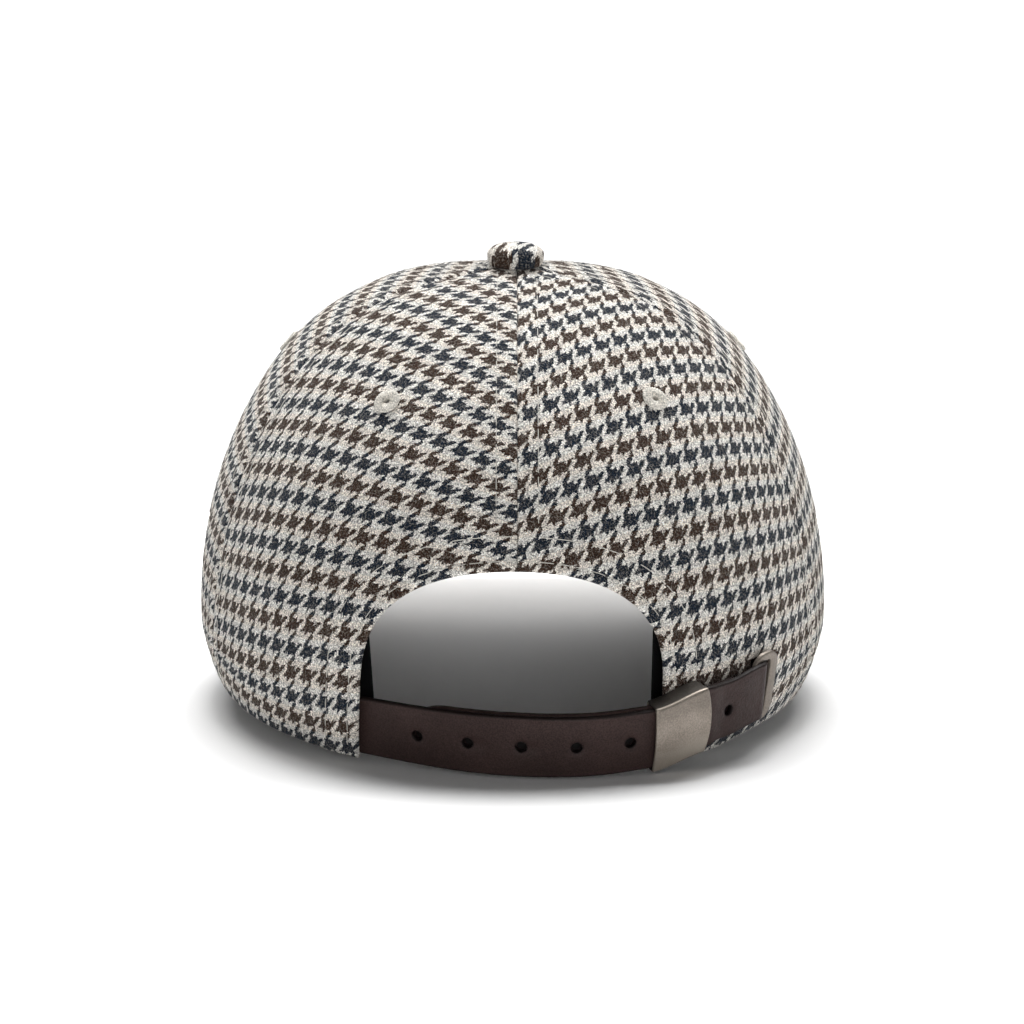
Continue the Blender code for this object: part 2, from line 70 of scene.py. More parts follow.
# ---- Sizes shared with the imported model.
LEAN = 5.03  # degrees back
FIT_GAP = 0.0003
HALF_WIDTH = 0.084
HALF_LENGTH_BACK = 0.101
HALF_LENGTH_FRONT = 0.098
CROWN_HEIGHT = 0.113
PLAN_POWER = 2.1
CROWN_PROFILE = np.array((  # plan power, height power, swell: at the back, the side and the front
    (2.3, 2.33, 0.025),
    (2.87, 2.55, 0.058),
    (2.3, 1.85, 0.025),
))
SWELL_HEIGHT = 0.15
CLOTH_WALL = 0.002
GORE = 0.0014
FRONT_RISE = 0.008
TOP_HOLE_RADIUS = 0.0034
SEAMS = np.array((0.0, 70.0, 125.0, 180.0))

ARCH_HALF_WIDTH = 0.04
ARCH_SPRING = 0.0223
ARCH_POWER = 2.35

VISOR_SPREAD = 66.0
VISOR_HALF_WIDTH = 0.0775
VISOR_REACH = 0.167
VISOR_POWER = 2.3
VISOR_WALL = 0.0032
VISOR_CENTRE_LOW = -0.002
VISOR_SIDE_LOW = -0.02
VISOR_DROOP_RUN = 0.075
VISOR_INSET = 0.0005
VISOR_END = 0.985

BUTTON_RADIUS = 0.008
BUTTON_GAP = 0.0005
BUTTON_STEM = 0.004

EYELET_HEIGHT = 0.09
EYELET_BORE = 0.0009
EYELET_HOLE = 0.0018  # in the cloth, under the thread

BAND_LOW = 0.001
BAND_TOP = 0.036
BAND_WALL = 0.0012
BAND_INSET = -0.0027
BAND_TABLE = (  # degrees, its lower edge's offset
    (25.9, -0.0027),
    (41.0, -0.0027),
    (47.0, -0.0055),
    (61.0, -0.0055),
    (67.0, -0.0027),
    (316.0, -0.0027),
    (322.0, -0.0055),
    (333.3, -0.0055),
)

STRAP_WIDTH = 0.017
STRAP_WALL = 0.0018
UNDERLAY_DEPTH = 0.0021
HOLE_RADIUS = 0.0015
HOLE_PITCH = 0.0143
FIRST_HOLE = -0.0263
HOLE_COUNT = 6

SLEEVE_ENDS = (22.2, 31.6)
SLEEVE_FACE = 0.0009
SLEEVE_EDGE = 0.0004

SLOT_ANGLE = 47.9
SLOT_HEIGHT = 0.0124
FRAME_PLATE = 0.0011

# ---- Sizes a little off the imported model's, where the photo shows the dressed surface elsewhere.
ARCH_RISE = 0.0306
ARCH_FEET = 0.001  # the back opening's feet stand this far towards +X
RIM_DROOP = 0.0012  # the rim hangs lower to the right of the sleeve
DROOP_STARTS = (27.0, 8.0)  # degrees, and over how many
DROOP_ENDS = (38.0, 13.0)
BACK_SEAM_X = -0.0012  # the seam at the centre back is sewn a little askew
CROWN_PEAK = 0.0016  # the crown rises this much more towards the button
PEAK_REACH = 0.01  # and falls off within this distance of its axis
BUTTON_X = -0.0008  # the button is sewn on a little to the right
EYELET_RADIUS = 0.0036
EYELETS = (
    ("back_right", 37.6),
    ("side_right", 97.5),
    ("front_right", 152.5),
    ("back_left", -32.6),
    ("side_left", -97.5),
    ("front_left", -152.5),
)
STRAP_TABLE = (  # degrees, offset, height
    (-34.0, -0.0036, 0.0089),
    (-27.0, -0.0036, 0.0089),
    (14.0, 0.0056, 0.009),
    (21.0, 0.0059, 0.0094),
    (32.4, 0.0057, 0.0128),
    (36.5, 0.0043, 0.0128),
    (45.5, 0.0039, 0.0142),
    (51.0, -0.0036, 0.014),
    (60.0, -0.0036, 0.0137),
)
TIP_NARROWER = 0.05  # the strap's tip, by this share of its width
TIP_STARTS = 32.5  # degrees
TIP_EASED = 3.0  # and over how many
TIP_HOLE = 0.0628
TIP_HOLE_LOW = 0.0003  # below the middle
UNDERLAY_ENDS = (-17.8, 39.5)
UNDERLAY_ROUNDED = 6.7  # its free end is pointed over this many degrees
UNDERLAY_NARROWER = 0.16  # the short strap where it is sewn on, hidden by the tip
SLOT_OPENING = (0.0058, 0.0165)
SLOT_CORNER = 0.0016
SLOT_CENTRE = (-0.001, 0.00175)
FRAME_SIZE = (0.0112, 0.0201)
FRAME_CENTRE = (-0.0003, 0.00215)
FRAME_CORNER = 0.0044
CLOTH_SLOT = (0.0084, 0.017)
CLOTH_SLOT_CENTRE = (0.0004, 0.0016)

# ---- Sizes of the dressed surfaces.
HEAD_MIDDLE = np.array((0.0, 0.0, 0.03))  # points are moved onto the crown along lines from here
HEM_ROLL = CLOTH_WALL / 2  # a hem is folded over, so its edge is half round
SEAM_ROLL = 0.0004  # a sewn edge is only eased
ROLL_STEPS = 6
EDGE_STEPS = (0.0, 0.0003, 0.0006, 0.001, 0.0015, 0.0021, 0.0028)  # closer rows by an edge
SEAM_STITCH = 0.0055  # topstitching's distance from a seam
ARCH_STITCHES = (0.0025, 0.0083)  # from the back opening's edge
VISOR_STITCHES = (0.004, 0.01)  # and from the visor's
HEM_WIDTH = 0.0095  # the turned cloth round the back opening
STITCH_PITCH = 0.0046
STITCH_LENGTH = 0.0042
STITCH_RADIUS = 0.00012
STITCH_SHAPE = np.array((-0.00025, 0.00008, 0.00011, 0.00012, 0.00011, 0.00008, -0.00025))

WARP_PITCH = 0.77  # mm between the tweed's threads
WEFT_PITCH = 0.82
CHECK = 4  # threads of one colour side by side


# ---- Arrays of points

def unit(vectors):
    return vectors / np.linalg.norm(vectors, axis=-1, keepdims=True)


def stack(*parts):
    """Points from their coordinates, each an array or a number."""
    return np.stack(np.broadcast_arrays(*parts), -1)


def signed_power(values, power):
    return np.sign(values) * np.abs(values) ** power


def ease(share):
    """A smooth step from 0 to 1."""
    return (1.0 - np.cos(np.pi * np.clip(share, 0.0, 1.0))) / 2.0


def from_table(table, angle, column=1):
    """Reads a column of a table against its angle, with a smooth step between rows."""
    rows = np.array(table)
    below = np.clip(np.searchsorted(rows[:, 0], angle, side="right") - 1, 0, len(rows) - 2)
    low, high = rows[below], rows[below + 1]
    share = ease((angle - low[..., 0]) / (high[..., 0] - low[..., 0]))
    return low[..., column] + (high[..., column] - low[..., column]) * share


def running_length(points):
    """The length of a line up to each of its points."""
    steps = np.linalg.norm(np.diff(points, axis=0), axis=1)
    return np.concatenate(([0.0], np.cumsum(steps)))


def line_through(points):
    """A function from shares of a line's length to its points."""
    lengths = running_length(points)
    shares = lengths / lengths[-1]
    return lambda at: stack(*(np.interp(at, shares, values) for values in points.T))


def length_of(line, steps=400):
    return running_length(line(np.linspace(0.0, 1.0, steps)))[-1]


def crowded_shares(count, length):
    """Shares of a length, with EDGE_STEPS at both ends."""
    near = np.array(EDGE_STEPS) / length
    return np.concatenate((near[:-1], np.linspace(near[-1], 1.0 - near[-1], count), 1.0 - near[-2::-1]))


def once_round(count):
    return 2 * np.pi * np.arange(count) / count


def circle(sides, radius):
    return stack(np.cos(once_round(sides)), np.sin(once_round(sides))) * radius


def rounded_loop(size, corner, centre=(0.0, 0.0), grow=0.0, steps=6):
    """A rectangle with round corners, grown by this much all round."""
    middles = centre + np.array(((1, 1), (-1, 1), (-1, -1), (1, -1))) * (np.array(size) / 2 - corner)
    turns = np.pi / 2 * (np.arange(4)[:, None] + np.linspace(0.0, 1.0, steps + 1))
    return (middles[:, None] + stack(np.cos(turns), np.sin(turns)) * (corner + grow)).reshape(-1, 2)


def rings_round(middles, first, second, loops):
    """Loops of points in the plane of two directions at each middle."""
    first, second = first[..., None, :] * loops[..., :1], second[..., None, :] * loops[..., 1:]
    return middles[..., None, :] + first + second


def in_frame(frame, x, y, z):
    """Points from their places along a frame's axes."""
    return stack(x, y, z, 1.0) @ frame.T


def for_each(points, function):
    """What a function gives for each point."""
    found = np.array([function(point) for point in points.reshape(-1, 3)])
    return found.reshape(points.shape[:-1] + found.shape[1:])


def tree_of(points):
    tree = kdtree.KDTree(len(points))
    for number, point in enumerate(points):
        tree.insert(point, number)
    tree.balance()
    return tree


def distance_to(points, line, spacing=0.0002):
    """The distance of points from a line, and how far along it they are nearest."""
    length = length_of(line)
    count = int(length / spacing) + 2
    tree = tree_of(line(np.linspace(0.0, 1.0, count)))
    found = for_each(points, lambda point: tree.find(point)[1:])
    return found[..., 1], found[..., 0] * length / (count - 1)


def soft_noise(points, size):
    """Smooth noise from about -1 to 1, whose waves are about this size."""
    return for_each(points, lambda point: noise.noise(Vector(point / size)))


# ---- The crown's surface

def from_back(degrees):
    """The angle from the centre back, to either side."""
    return np.abs((degrees + 180.0) % 360.0 - 180.0)


def shape_at(degrees):
    """Plan power, height power and swell at angles round the crown."""
    cosine, sine = np.cos(np.radians(degrees)), np.sin(np.radians(degrees))
    shares = stack(np.maximum(cosine, 0.0) ** 2, sine ** 2, np.minimum(cosine, 0.0) ** 2)
    return np.moveaxis(shares @ CROWN_PROFILE, -1, 0)


def swollen(degrees, level):
    """The factor by which the crown swells out, as a whole and between its seams."""
    _, _, swell = shape_at(degrees)
    rising = np.sin(np.pi / 2 * np.clip(level / SWELL_HEIGHT, 0.0, 1.0))
    falling = 1.0 - ease((level - SWELL_HEIGHT) / (1.0 - SWELL_HEIGHT))
    angle = from_back(degrees)
    panel = np.clip(np.searchsorted(SEAMS, angle, side="right") - 1, 0, 2)
    across = (angle - SEAMS[panel]) / (SEAMS[panel + 1] - SEAMS[panel])
    gore = GORE / HALF_WIDTH * 4 * across * (1 - across) * np.sin(np.pi * np.clip(level, 0.0, 1.0))
    return 1.0 + swell * rising * falling + gore


def crown_point(degrees, height):
    """Points on the crown's outer face."""
    plan_power, height_power, _ = shape_at(degrees)
    level = np.clip(height / CROWN_HEIGHT, 0.0, 1.0)
    radius = (1.0 - level ** height_power) ** (1.0 / plan_power) * swollen(degrees, level)
    cosine, sine = np.cos(np.radians(degrees)), np.sin(np.radians(degrees))
    length = np.where(cosine > 0, HALF_LENGTH_BACK, HALF_LENGTH_FRONT)
    return stack(-HALF_WIDTH * signed_power(sine, 2 / PLAN_POWER) * radius,
                 length * signed_power(cosine, 2 / PLAN_POWER) * radius, height)


def crown_place(points):
    """The angle round the crown at points, and their share of the rim's plan radius."""
    length = np.where(points[..., 1] > 0, HALF_LENGTH_BACK, HALF_LENGTH_FRONT)
    sine = -signed_power(points[..., 0] / HALF_WIDTH, PLAN_POWER / 2)
    cosine = signed_power(points[..., 1] / length, PLAN_POWER / 2)
    return np.degrees(np.arctan2(sine, cosine)), np.hypot(sine, cosine) ** (2 / PLAN_POWER)


def crown_value(points):
    """Nothing on the crown's face, above 0 outside it and below 0 inside."""
    degrees, share = crown_place(points)
    plan_power, height_power, _ = shape_at(degrees)
    level = np.maximum(points[..., 2], 0.0) / CROWN_HEIGHT
    return (share / swollen(degrees, level)) ** plan_power + level ** height_power - 1.0


def onto_crown(points, origin=HEAD_MIDDLE):
    """Moves points onto the crown's face, along lines from the origin, by halving."""
    low, high = np.full(points.shape[:-1], 0.4), np.full(points.shape[:-1], 1.6)
    for _ in range(32):
        middle = (low + high) / 2
        outside = crown_value(origin + (points - origin) * middle[..., None]) > 0
        high = np.where(outside, middle, high)
        low = np.where(outside, low, middle)
    return origin + (points - origin) * ((low + high) / 2)[..., None]


def crown_normal(points, step=0.0003):
    """Directions out of the crown's face."""
    return unit(stack(*(crown_value(points + by) - crown_value(points - by) for by in np.eye(3) * step)))


def spoke(degrees):
    """Level directions from the crown's axis towards an angle, and along the rim there."""
    out = unit(crown_point(degrees, 0.0) * (1, 1, 0))
    return out, stack(-out[..., 1], out[..., 0], 0.0)


def rim_height(degrees):
    return FRONT_RISE * ease((from_back(degrees) - 180.0 + VISOR_SPREAD) / VISOR_SPREAD)


def along_crown(degrees, height, turn):
    return crown_point(degrees + turn, height) - crown_point(degrees - turn, height)


def beside_crown(degrees, height, offset):
    """Points level with the crown's face and this far outside it."""
    along = along_crown(degrees, height, 1.5)
    out = unit(stack(along[..., 1], -along[..., 0], 0.0))
    return crown_point(degrees, height) + out * np.asarray(offset)[..., None]


def crown_frame(degrees, height, rise=0.0004):
    """Axes and middle on the crown's face: X along the rim, Y up the face, Z out of it."""
    along = unit(along_crown(degrees, height, 0.25))
    up = crown_point(degrees, height + rise) - crown_point(degrees, height - rise)
    out = unit(np.cross(along, up))
    return np.stack((along, np.cross(out, along), out, crown_point(degrees, height)), 1)


def meridian(degrees, low, beside=0.0, steps=400):
    """A line up the crown from a height to the button, moved sideways along the rim."""
    _, height_power, _ = shape_at(degrees)
    start = math.asin((low / CROWN_HEIGHT) ** (height_power / 2))
    turns = np.linspace(start, math.pi / 2, steps, endpoint=False)
    points = crown_point(degrees, CROWN_HEIGHT * np.sin(turns) ** (2 / height_power))
    points = points[np.hypot(points[:, 0], points[:, 1]) > TOP_HOLE_RADIUS + SEAM_ROLL]
    return onto_crown(points + spoke(degrees)[1] * beside)


# ---- Meshes

def new_mesh(name, points, faces):
    mesh = bpy.data.meshes.new(name)
    mesh.from_pydata(np.reshape(points, (-1, 3)).tolist(), [], faces)
    mesh.shade_smooth()
    return mesh


def numbered(*shape):
    return np.arange(math.prod(shape)).reshape(shape)


def grid_faces(numbers):
    """Faces between rows of vertex numbers, which run to the right, each above the last."""
    quads = (numbers[:-1, :-1], numbers[:-1, 1:], numbers[1:, 1:], numbers[1:, :-1])
    return np.stack([corner.ravel() for corner in quads], 1).tolist()


def tube_faces(rings, sides, closed=False):
    """A skin over rings of points. Its ends are capped, or joined if it is closed."""
    numbers = numbered(rings, sides)
    faces = grid_faces(np.pad(numbers, ((0, int(closed)), (0, 1)), "wrap"))
    return faces if closed else faces + [numbers[0, ::-1].tolist(), numbers[-1].tolist()]


def loft(name, rings, closed=False):
    return new_mesh(name, rings, tube_faces(*rings.shape[:2], closed))


def copies(faces, count, points):
    """The faces of so many bodies alike, of so many points each."""
    return [[corner + points * number for corner in face] for number in range(count) for face in faces]


def boundary(grid):
    """The points round a grid's edge, once round: bottom, right, top and left."""
    return np.concatenate((grid[0, :-1], grid[:-1, -1], grid[-1, :0:-1], grid[:0:-1, 0]))


def edge_reach(outer, inner, reaches):
    """How far a sheet's edge rolls out, from the reach of its bottom, right, top and left."""
    reach = np.zeros_like(outer)
    sides = (np.s_[0, :], np.s_[:, -1], np.s_[-1, ::-1], np.s_[::-1, 0])
    for side, distance in zip(sides, reaches):
        tangent = unit(np.gradient(outer[side], axis=0))
        reach[side] += unit(np.cross(tangent, unit(outer[side] - inner[side]))) * distance
    return boundary(reach)


def shell(name, outer, inner, reaches):
    """A closed sheet of cloth from its two faces, with its edges rolled over."""
    edge_out, edge_in = boundary(outer), boundary(inner)
    reach = edge_reach(outer, inner, reaches)
    turns = np.pi * np.arange(1, ROLL_STEPS) / ROLL_STEPS
    rolls = [(edge_out + edge_in) / 2 + math.cos(turn) * (edge_out - edge_in) / 2 + math.sin(turn) * reach
             for turn in turns]
    front = numbered(*outer.shape[:2])
    back = front + front.size
    loops = (boundary(front)[None], numbered(len(turns), len(edge_out)) + 2 * front.size,
             boundary(back)[None])
    loops = np.pad(np.concatenate(loops), ((0, 0), (0, 1)), "wrap")
    faces = grid_faces(front) + grid_faces(back[:, ::-1]) + grid_faces(loops[:, ::-1])
    return new_mesh(name, np.concatenate([outer.reshape(-1, 3), inner.reshape(-1, 3), *rolls]), faces)


def coons(low, high, left, right, along, up):
    """A patch between four lines: low and high run to the right, left and right run up."""
    p, q = along[None, :, None], up[:, None, None]
    across = (1 - q) * low(along)[None] + q * high(along)[None]
    rising = (1 - p) * left(up)[:, None] + p * right(up)[:, None]
    ends = np.array((0.0, 1.0))
    (low_left, low_right), (high_left, high_right) = low(ends), high(ends)
    corners = (1 - q) * ((1 - p) * low_left + p * low_right) + q * ((1 - p) * high_left + p * high_right)
    return across + rising - corners


def grid_normals(grid):
    """Directions out of a grid's face."""
    return unit(np.cross(np.gradient(grid, axis=1), np.gradient(grid, axis=0)))


# ---- Materials

class Look:
    """A material whose nodes are made by short calls that return their outputs."""

    def __init__(self, name, colour, finish):
        self.material = bpy.data.materials.new(name)
        self.material.use_nodes = True
        self.material.diffuse_color = (*colour, 1.0)
        self.tree = self.material.node_tree
        self.shader = self.tree.nodes["Principled BSDF"]
        self.shader.inputs["Base Color"].default_value = (*colour, 1.0)
        for socket, value in finish.items():
            self.shader.inputs[socket].default_value = value

    def node(self, kind, inputs=(), **settings):
        made = self.tree.nodes.new(kind)
        for name, value in settings.items():
            setattr(made, name, value)
        for name, value in inputs:
            socket = made.inputs[name]
            if isinstance(value, bpy.types.NodeSocket):
                self.tree.links.new(value, socket)
            else:
                socket.default_value = (*value, 1.0) if socket.type == "RGBA" else value
        return made

    def math(self, operation, *values):
        return self.node("ShaderNodeMath", enumerate(values), operation=operation).outputs[0]

    def weave(self):
        return self.node("ShaderNodeAttribute", attribute_name="weave").outputs["Vector"]

    def place(self):
        return self.node("ShaderNodeTexCoord").outputs["Object"]

    def moved(self, vector):
        """A place far off, where noise is another."""
        return self.node("ShaderNodeVectorMath", [(0, vector), (1, (31.7, 12.9, 4.0))]).outputs[0]

    def split(self, vector):
        return self.node("ShaderNodeSeparateXYZ", [(0, vector)]).outputs

    def noise(self, vector, scale, detail=2.0):
        inputs = [("Vector", vector), ("Scale", scale), ("Detail", detail)]
        return self.node("ShaderNodeTexNoise", inputs).outputs["Fac"]

    def grain(self, *parts):
        """A number from 0 to 1 for each whole-numbered place."""
        place = self.node("ShaderNodeCombineXYZ", enumerate(parts)).outputs[0]
        return self.node("ShaderNodeTexWhiteNoise", [("Vector", place)]).outputs["Value"]

    def mix(self, share, first, second):
        inputs = [(0, share), (6, first), (7, second)]
        return self.node("ShaderNodeMix", inputs, data_type="RGBA").outputs[2]

    def choose(self, share, first, second):
        inputs = [(0, share), (2, first), (3, second)]
        return self.node("ShaderNodeMix", inputs, data_type="FLOAT").outputs[0]

    def shade(self, vector, factor):
        """A colour made darker or lighter by a number, or a place made larger."""
        inputs = [(0, vector), (3, factor)]
        return self.node("ShaderNodeVectorMath", inputs, operation="SCALE").outputs[0]

    def remap(self, value, low, high, to_low, to_high):
        inputs = enumerate((value, low, high, to_low, to_high))
        return self.node("ShaderNodeMapRange", inputs).outputs[0]

    def bump(self, height, distance, normal=None):
        inputs = [("Height", height), ("Distance", distance)]
        if normal:
            inputs.append(("Normal", normal))
        return self.node("ShaderNodeBump", inputs).outputs[0]

    def use(self, colour, roughness=None, normal=None):
        for name, value in (("Base Color", colour), ("Roughness", roughness), ("Normal", normal)):
            if value:
                self.tree.links.new(value, self.shader.inputs[name])
        return self.material


CREAMS = ((0.85, 0.79, 0.715), (0.82, 0.8, 0.755))  # beside brown and beside navy
DARKS = ((0.041, 0.0205, 0.0125), (0.0038, 0.012, 0.026))  # brown and navy


def tweed_material(name, dark_threads=(CHECK, CHECK)):
    """Brushed houndstooth: a twill of four dark and four cream threads each way, whose dark rows are navy
    and brown in turn."""
    look = Look(name, CREAMS[0], {"Roughness": 0.95, "Sheen Weight": 0.09, "Sheen Roughness": 0.25,
                                  "Specular IOR Level": 0.15})
    weave = look.weave()
    wool = look.shade(look.place(), 1 / MM)
    strewn = look.moved(wool)
    threads = []
    for place, pitch, vector in zip(look.split(weave), (WARP_PITCH, WEFT_PITCH), (weave, look.moved(weave))):
        fuzz = look.remap(look.noise(vector, 1.9, 4.0), 0.0, 1.0, -1.1, 1.1)
        threads.append(look.math("ADD", look.math("DIVIDE", place, pitch), fuzz))
    warp, weft = threads

    def one_of(thread, period, first=0.5):
        """1 for the first share of every so many threads."""
        return look.math("LESS_THAN", look.math("FLOORED_MODULO", thread, period), period * first)

    warp_up = one_of(look.math("ADD", look.math("SUBTRACT", warp, weft), 0.5), CHECK)
    navy_row = one_of(look.math("ADD", weft, CHECK / 2), 4 * CHECK)
    warp_dark, weft_dark = (one_of(thread, 2 * CHECK, count / CHECK / 2)
                            for thread, count in zip(threads, dark_threads))
    colour = look.mix(look.choose(warp_up, weft_dark, warp_dark), look.mix(navy_row, *CREAMS),
                      look.mix(navy_row, *DARKS))

    flecks = look.remap(look.noise(strewn, 1.2, 3.0), 0.6, 0.7, 0.0, 0.28)
    colour = look.mix(flecks, colour, (0.3, 0.27, 0.24))
    strands = look.remap(look.noise(strewn, 2.3, 5.0), 0.5, 0.66, 0.0, 0.4)
    colour = look.mix(strands, colour, (0.46, 0.42, 0.37))
    each = look.grain(look.math("FLOOR", warp), look.math("FLOOR", weft), warp_up)
    colour = look.shade(colour, look.remap(each, 0.0, 1.0, 0.86, 1.12))
    colour = look.shade(colour, look.remap(look.noise(wool, 2.5, 5.0), 0.34, 0.66, 0.28, 1.56))

    over_warp, over_weft = (look.math("SINE", look.math("MULTIPLY", look.math("FRACT", thread), math.pi))
                            for thread in threads)
    ridges = look.bump(look.choose(warp_up, over_weft, over_warp), 0.0001)
    return look.use(colour, normal=look.bump(look.noise(wool, 3.4, 5.0), 0.00034, ridges))


def thread_material(name, colour, grain=900.0, shades=(0.8, 1.12), fuzz=0.0001):
    """Cotton thread, uneven by so many grains a metre between two shades, with fuzz this deep."""
    look = Look(name, colour, {"Roughness": 0.8, "Sheen Weight": 0.2})
    place = look.place()
    shade = look.remap(look.noise(place, grain), 0.3, 0.7, *shades)
    base = look.mix(look.noise(place, 300.0), colour, [0.88 * part for part in colour])
    return look.use(look.shade(base, shade), normal=look.bump(look.noise(place, 2500.0), fuzz))


def leather_material(name):
    """Smooth brown leather. The x of its weave map says how far it is darkened: painted shade round its
    holes, and edge paint with painted shade.
    """
    look = Look(name, (0.03, 0.018, 0.016), {"Roughness": 0.5, "Specular IOR Level": 0.15})
    place = look.place()
    clouds = look.remap(look.noise(place, 60.0, 3.0), 0.3, 0.7, 0.0, 1.0)
    colour = look.mix(clouds, (0.033, 0.02, 0.0183), (0.0465, 0.0284, 0.026))
    colour = look.shade(colour, look.remap(look.noise(place, 2600.0, 4.0), 0.35, 0.65, 0.72, 1.28))
    # near black by the weave map's x: painted shade round the holes, and edge paint that also paints shade
    colour = look.mix(look.split(look.weave())[0], colour, (0.004, 0.003, 0.003))
    pores = look.node("ShaderNodeTexVoronoi", [("Vector", place), ("Scale", 1500.0)]).outputs["Distance"]
    creases = look.bump(look.noise(place, 700.0, 4.0), 0.0001, look.bump(pores, 0.00006))
    roughness = look.remap(look.noise(place, 250.0, 3.0), 0.3, 0.7, 0.42, 0.56)
    return look.use(colour, roughness, creases)


def metal_material(name):
    """Satin antique nickel. Its weave map says how far it is lightened and how far darkened: painted
    highlights and painted shade on the sleeve, and a darker tone all over the slot frame.
    """
    look = Look(name, (0.42, 0.38, 0.33), {"Roughness": 0.36, "Metallic": 0.7})
    place = look.place()
    clouds = look.remap(look.noise(place, 120.0), 0.3, 0.7, 0.0, 1.0)
    colour = look.mix(clouds, (0.235, 0.202, 0.17), (0.335, 0.29, 0.247))
    colour = look.shade(colour, look.remap(look.noise(place, 2600.0, 4.0), 0.35, 0.65, 0.8, 1.2))
    brightened, darkened, _ = look.split(look.weave())
    # painted shade on the sleeve, and the slot frame's darker tone, by the weave map's y
    colour = look.mix(darkened, colour, (0.06, 0.052, 0.045))
    # painted highlights on the sleeve, by the weave map's x
    colour = look.mix(brightened, colour, (0.44, 0.39, 0.33))
    sand = look.noise(place, 1800.0, 3.0)
    return look.use(colour, look.remap(sand, 0.3, 0.7, 0.4, 0.55), look.bump(sand, 0.00005))


def band_material(name):
    """Dark cotton twill."""
    look = Look(name, (0.008, 0.008, 0.009), {"Roughness": 0.95, "Specular IOR Level": 0.1})
    u, v, _ = look.split(look.weave())
    ridges = look.math("SINE", look.math("MULTIPLY", look.math("ADD", u, v), 9.0))
    ridged = look.remap(ridges, -1.0, 1.0, 0.0, 1.0)
    colour = look.mix(ridged, (0.0015, 0.0015, 0.0018), (0.0042, 0.0042, 0.0046))
    return look.use(colour, normal=look.bump(ridges, 0.00008))


# ---- Placing pieces

def find_seat(button):
    """The lean and shift that stand the cap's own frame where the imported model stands."""
    lean = Matrix.Rotation(-math.radians(LEAN), 4, "X")
    upright = np.array([lean.inverted() @ vertex.co for vertex in button.data.vertices])
    low, high = upright.min(0), upright.max(0)
    foot = CROWN_HEIGHT + BUTTON_GAP - BUTTON_STEM
    return lean @ Matrix.Translation(((low[0] + high[0]) / 2, (low[1] + high[1]) / 2, low[2] - foot))


def add_object(name, data):
    made = bpy.data.objects.new(name, data)
    bpy.context.scene.collection.objects.link(made)
    return made


def punch(piece, cutters):
    """Cuts holes right through a piece."""
    for mesh in cutters:
        cutter = add_object(mesh.name, mesh)
        hole = piece.modifiers.new(mesh.name, "BOOLEAN")
        hole.operation = "DIFFERENCE"
        hole.solver = "EXACT"
        hole.object = cutter
        with bpy.context.temp_override(object=piece, active_object=piece):
            bpy.ops.object.modifier_apply(modifier=hole.name)
        bpy.data.objects.remove(cutter, do_unlink=True)


def dress(name, mesh, material, nodes=(), cutters=(), weave=None):
    """A new piece from a mesh in the cap's own frame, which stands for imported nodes."""
    piece = add_object(name, mesh)
    punch(piece, cutters)
    if weave:
        points = np.array([vertex.co for vertex in mesh.vertices])
        made = mesh.attributes.new("weave", "FLOAT_VECTOR", "POINT")
        made.data.foreach_set("vector", weave(points).astype(np.float32).ravel())
    mesh.materials.append(material)
    mesh.transform(SEAT)
    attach(piece, "root")
    if nodes:
        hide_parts(*nodes)


def peg(name, frame, loop, depth):
    """A prism along a frame's Z, from a loop of points in its XY."""
    return loft(name, np.array([in_frame(frame, *loop.T, z) for z in (-depth, depth)]))


# ---- Crown panels

PANELS = (  # name, first seam, second seam, faces along, faces up
    ("back", 0.0, 70.0, 150, 104),
    ("side", 70.0, 125.0, 84, 170),
    ("front", 125.0, 180.0, 84, 170),
)
WEAVE_MIDDLE = {**dict(EYELETS), "back_right": 44.0, "back_left": -38.5}  # the warp is upright here
WEAVE_TWIST = {"back_left": 0.0026}  # radians a mm up the crown
WEAVE_LEVEL = 50.0  # mm up the crown, where a twisted weave is level
WEAVE_SHIFT = {"back": 0.0, "side": 2.2, "front": 1.1}  # mm across the panel
GROOVE_WIDTH = 0.00055  # pressed in by a row of stitches
PRESSED_WIDTH = 0.0008  # and along a seam
LIFT_FADE = 0.0014  # turned cloth lifts the face, and ends over this width
UNEVEN = 0.00022  # soft waves in the cloth
WAVE_SIZE = 0.022
# The lifted width and its lift, the depth of the seam, and the rows of stitches and their depth.
SEAM_RELIEF = (SEAM_STITCH + 0.0006, 0.00025, 0.00035, (SEAM_STITCH - SEAM_ROLL,), 0.0003)
HEM_RELIEF = (HEM_WIDTH, 0.00045, 0.0, [row - HEM_ROLL for row in ARCH_STITCHES], 0.00034)


def arch_line(grow, feet, start=0.0):
    """The back opening's right-hand edge, from its top down to its foot, which is moved by feet."""
    turns = np.linspace(math.pi / 2, 0.0, 200)
    x = -(ARCH_HALF_WIDTH + grow) * np.cos(turns).clip(0) ** (2 / ARCH_POWER)
    z = ARCH_SPRING + (ARCH_RISE + grow) * np.sin(turns) ** (2 / ARCH_POWER)
    x, z = np.append(start, x[x < start][1:]), z[x < start]
    down = np.linspace(ARCH_SPRING, HEM_ROLL, 60)[1:]
    x, z = np.append(x, np.full(len(down), x[-1])), np.append(z, down)
    x = x + feet * (1.0 - ease(z / (ARCH_SPRING + ARCH_RISE / 2)))
    middle = stack(x, 0.0, z)
    return onto_crown(middle + (0.0, 0.09, 0.0), middle)


def rim_line(start, end, droop=0.0, steps=120):
    """Along the rim between two points of it."""
    degrees = np.linspace(crown_place(start)[0], crown_place(end)[0], steps)
    starts, ends = (ease((degrees - at) / over) for at, over in (DROOP_STARTS, DROOP_ENDS))
    line = crown_point(degrees, rim_height(degrees) + HEM_ROLL - droop * starts * (1.0 - ends))
    line[0], line[-1] = start, end
    return line


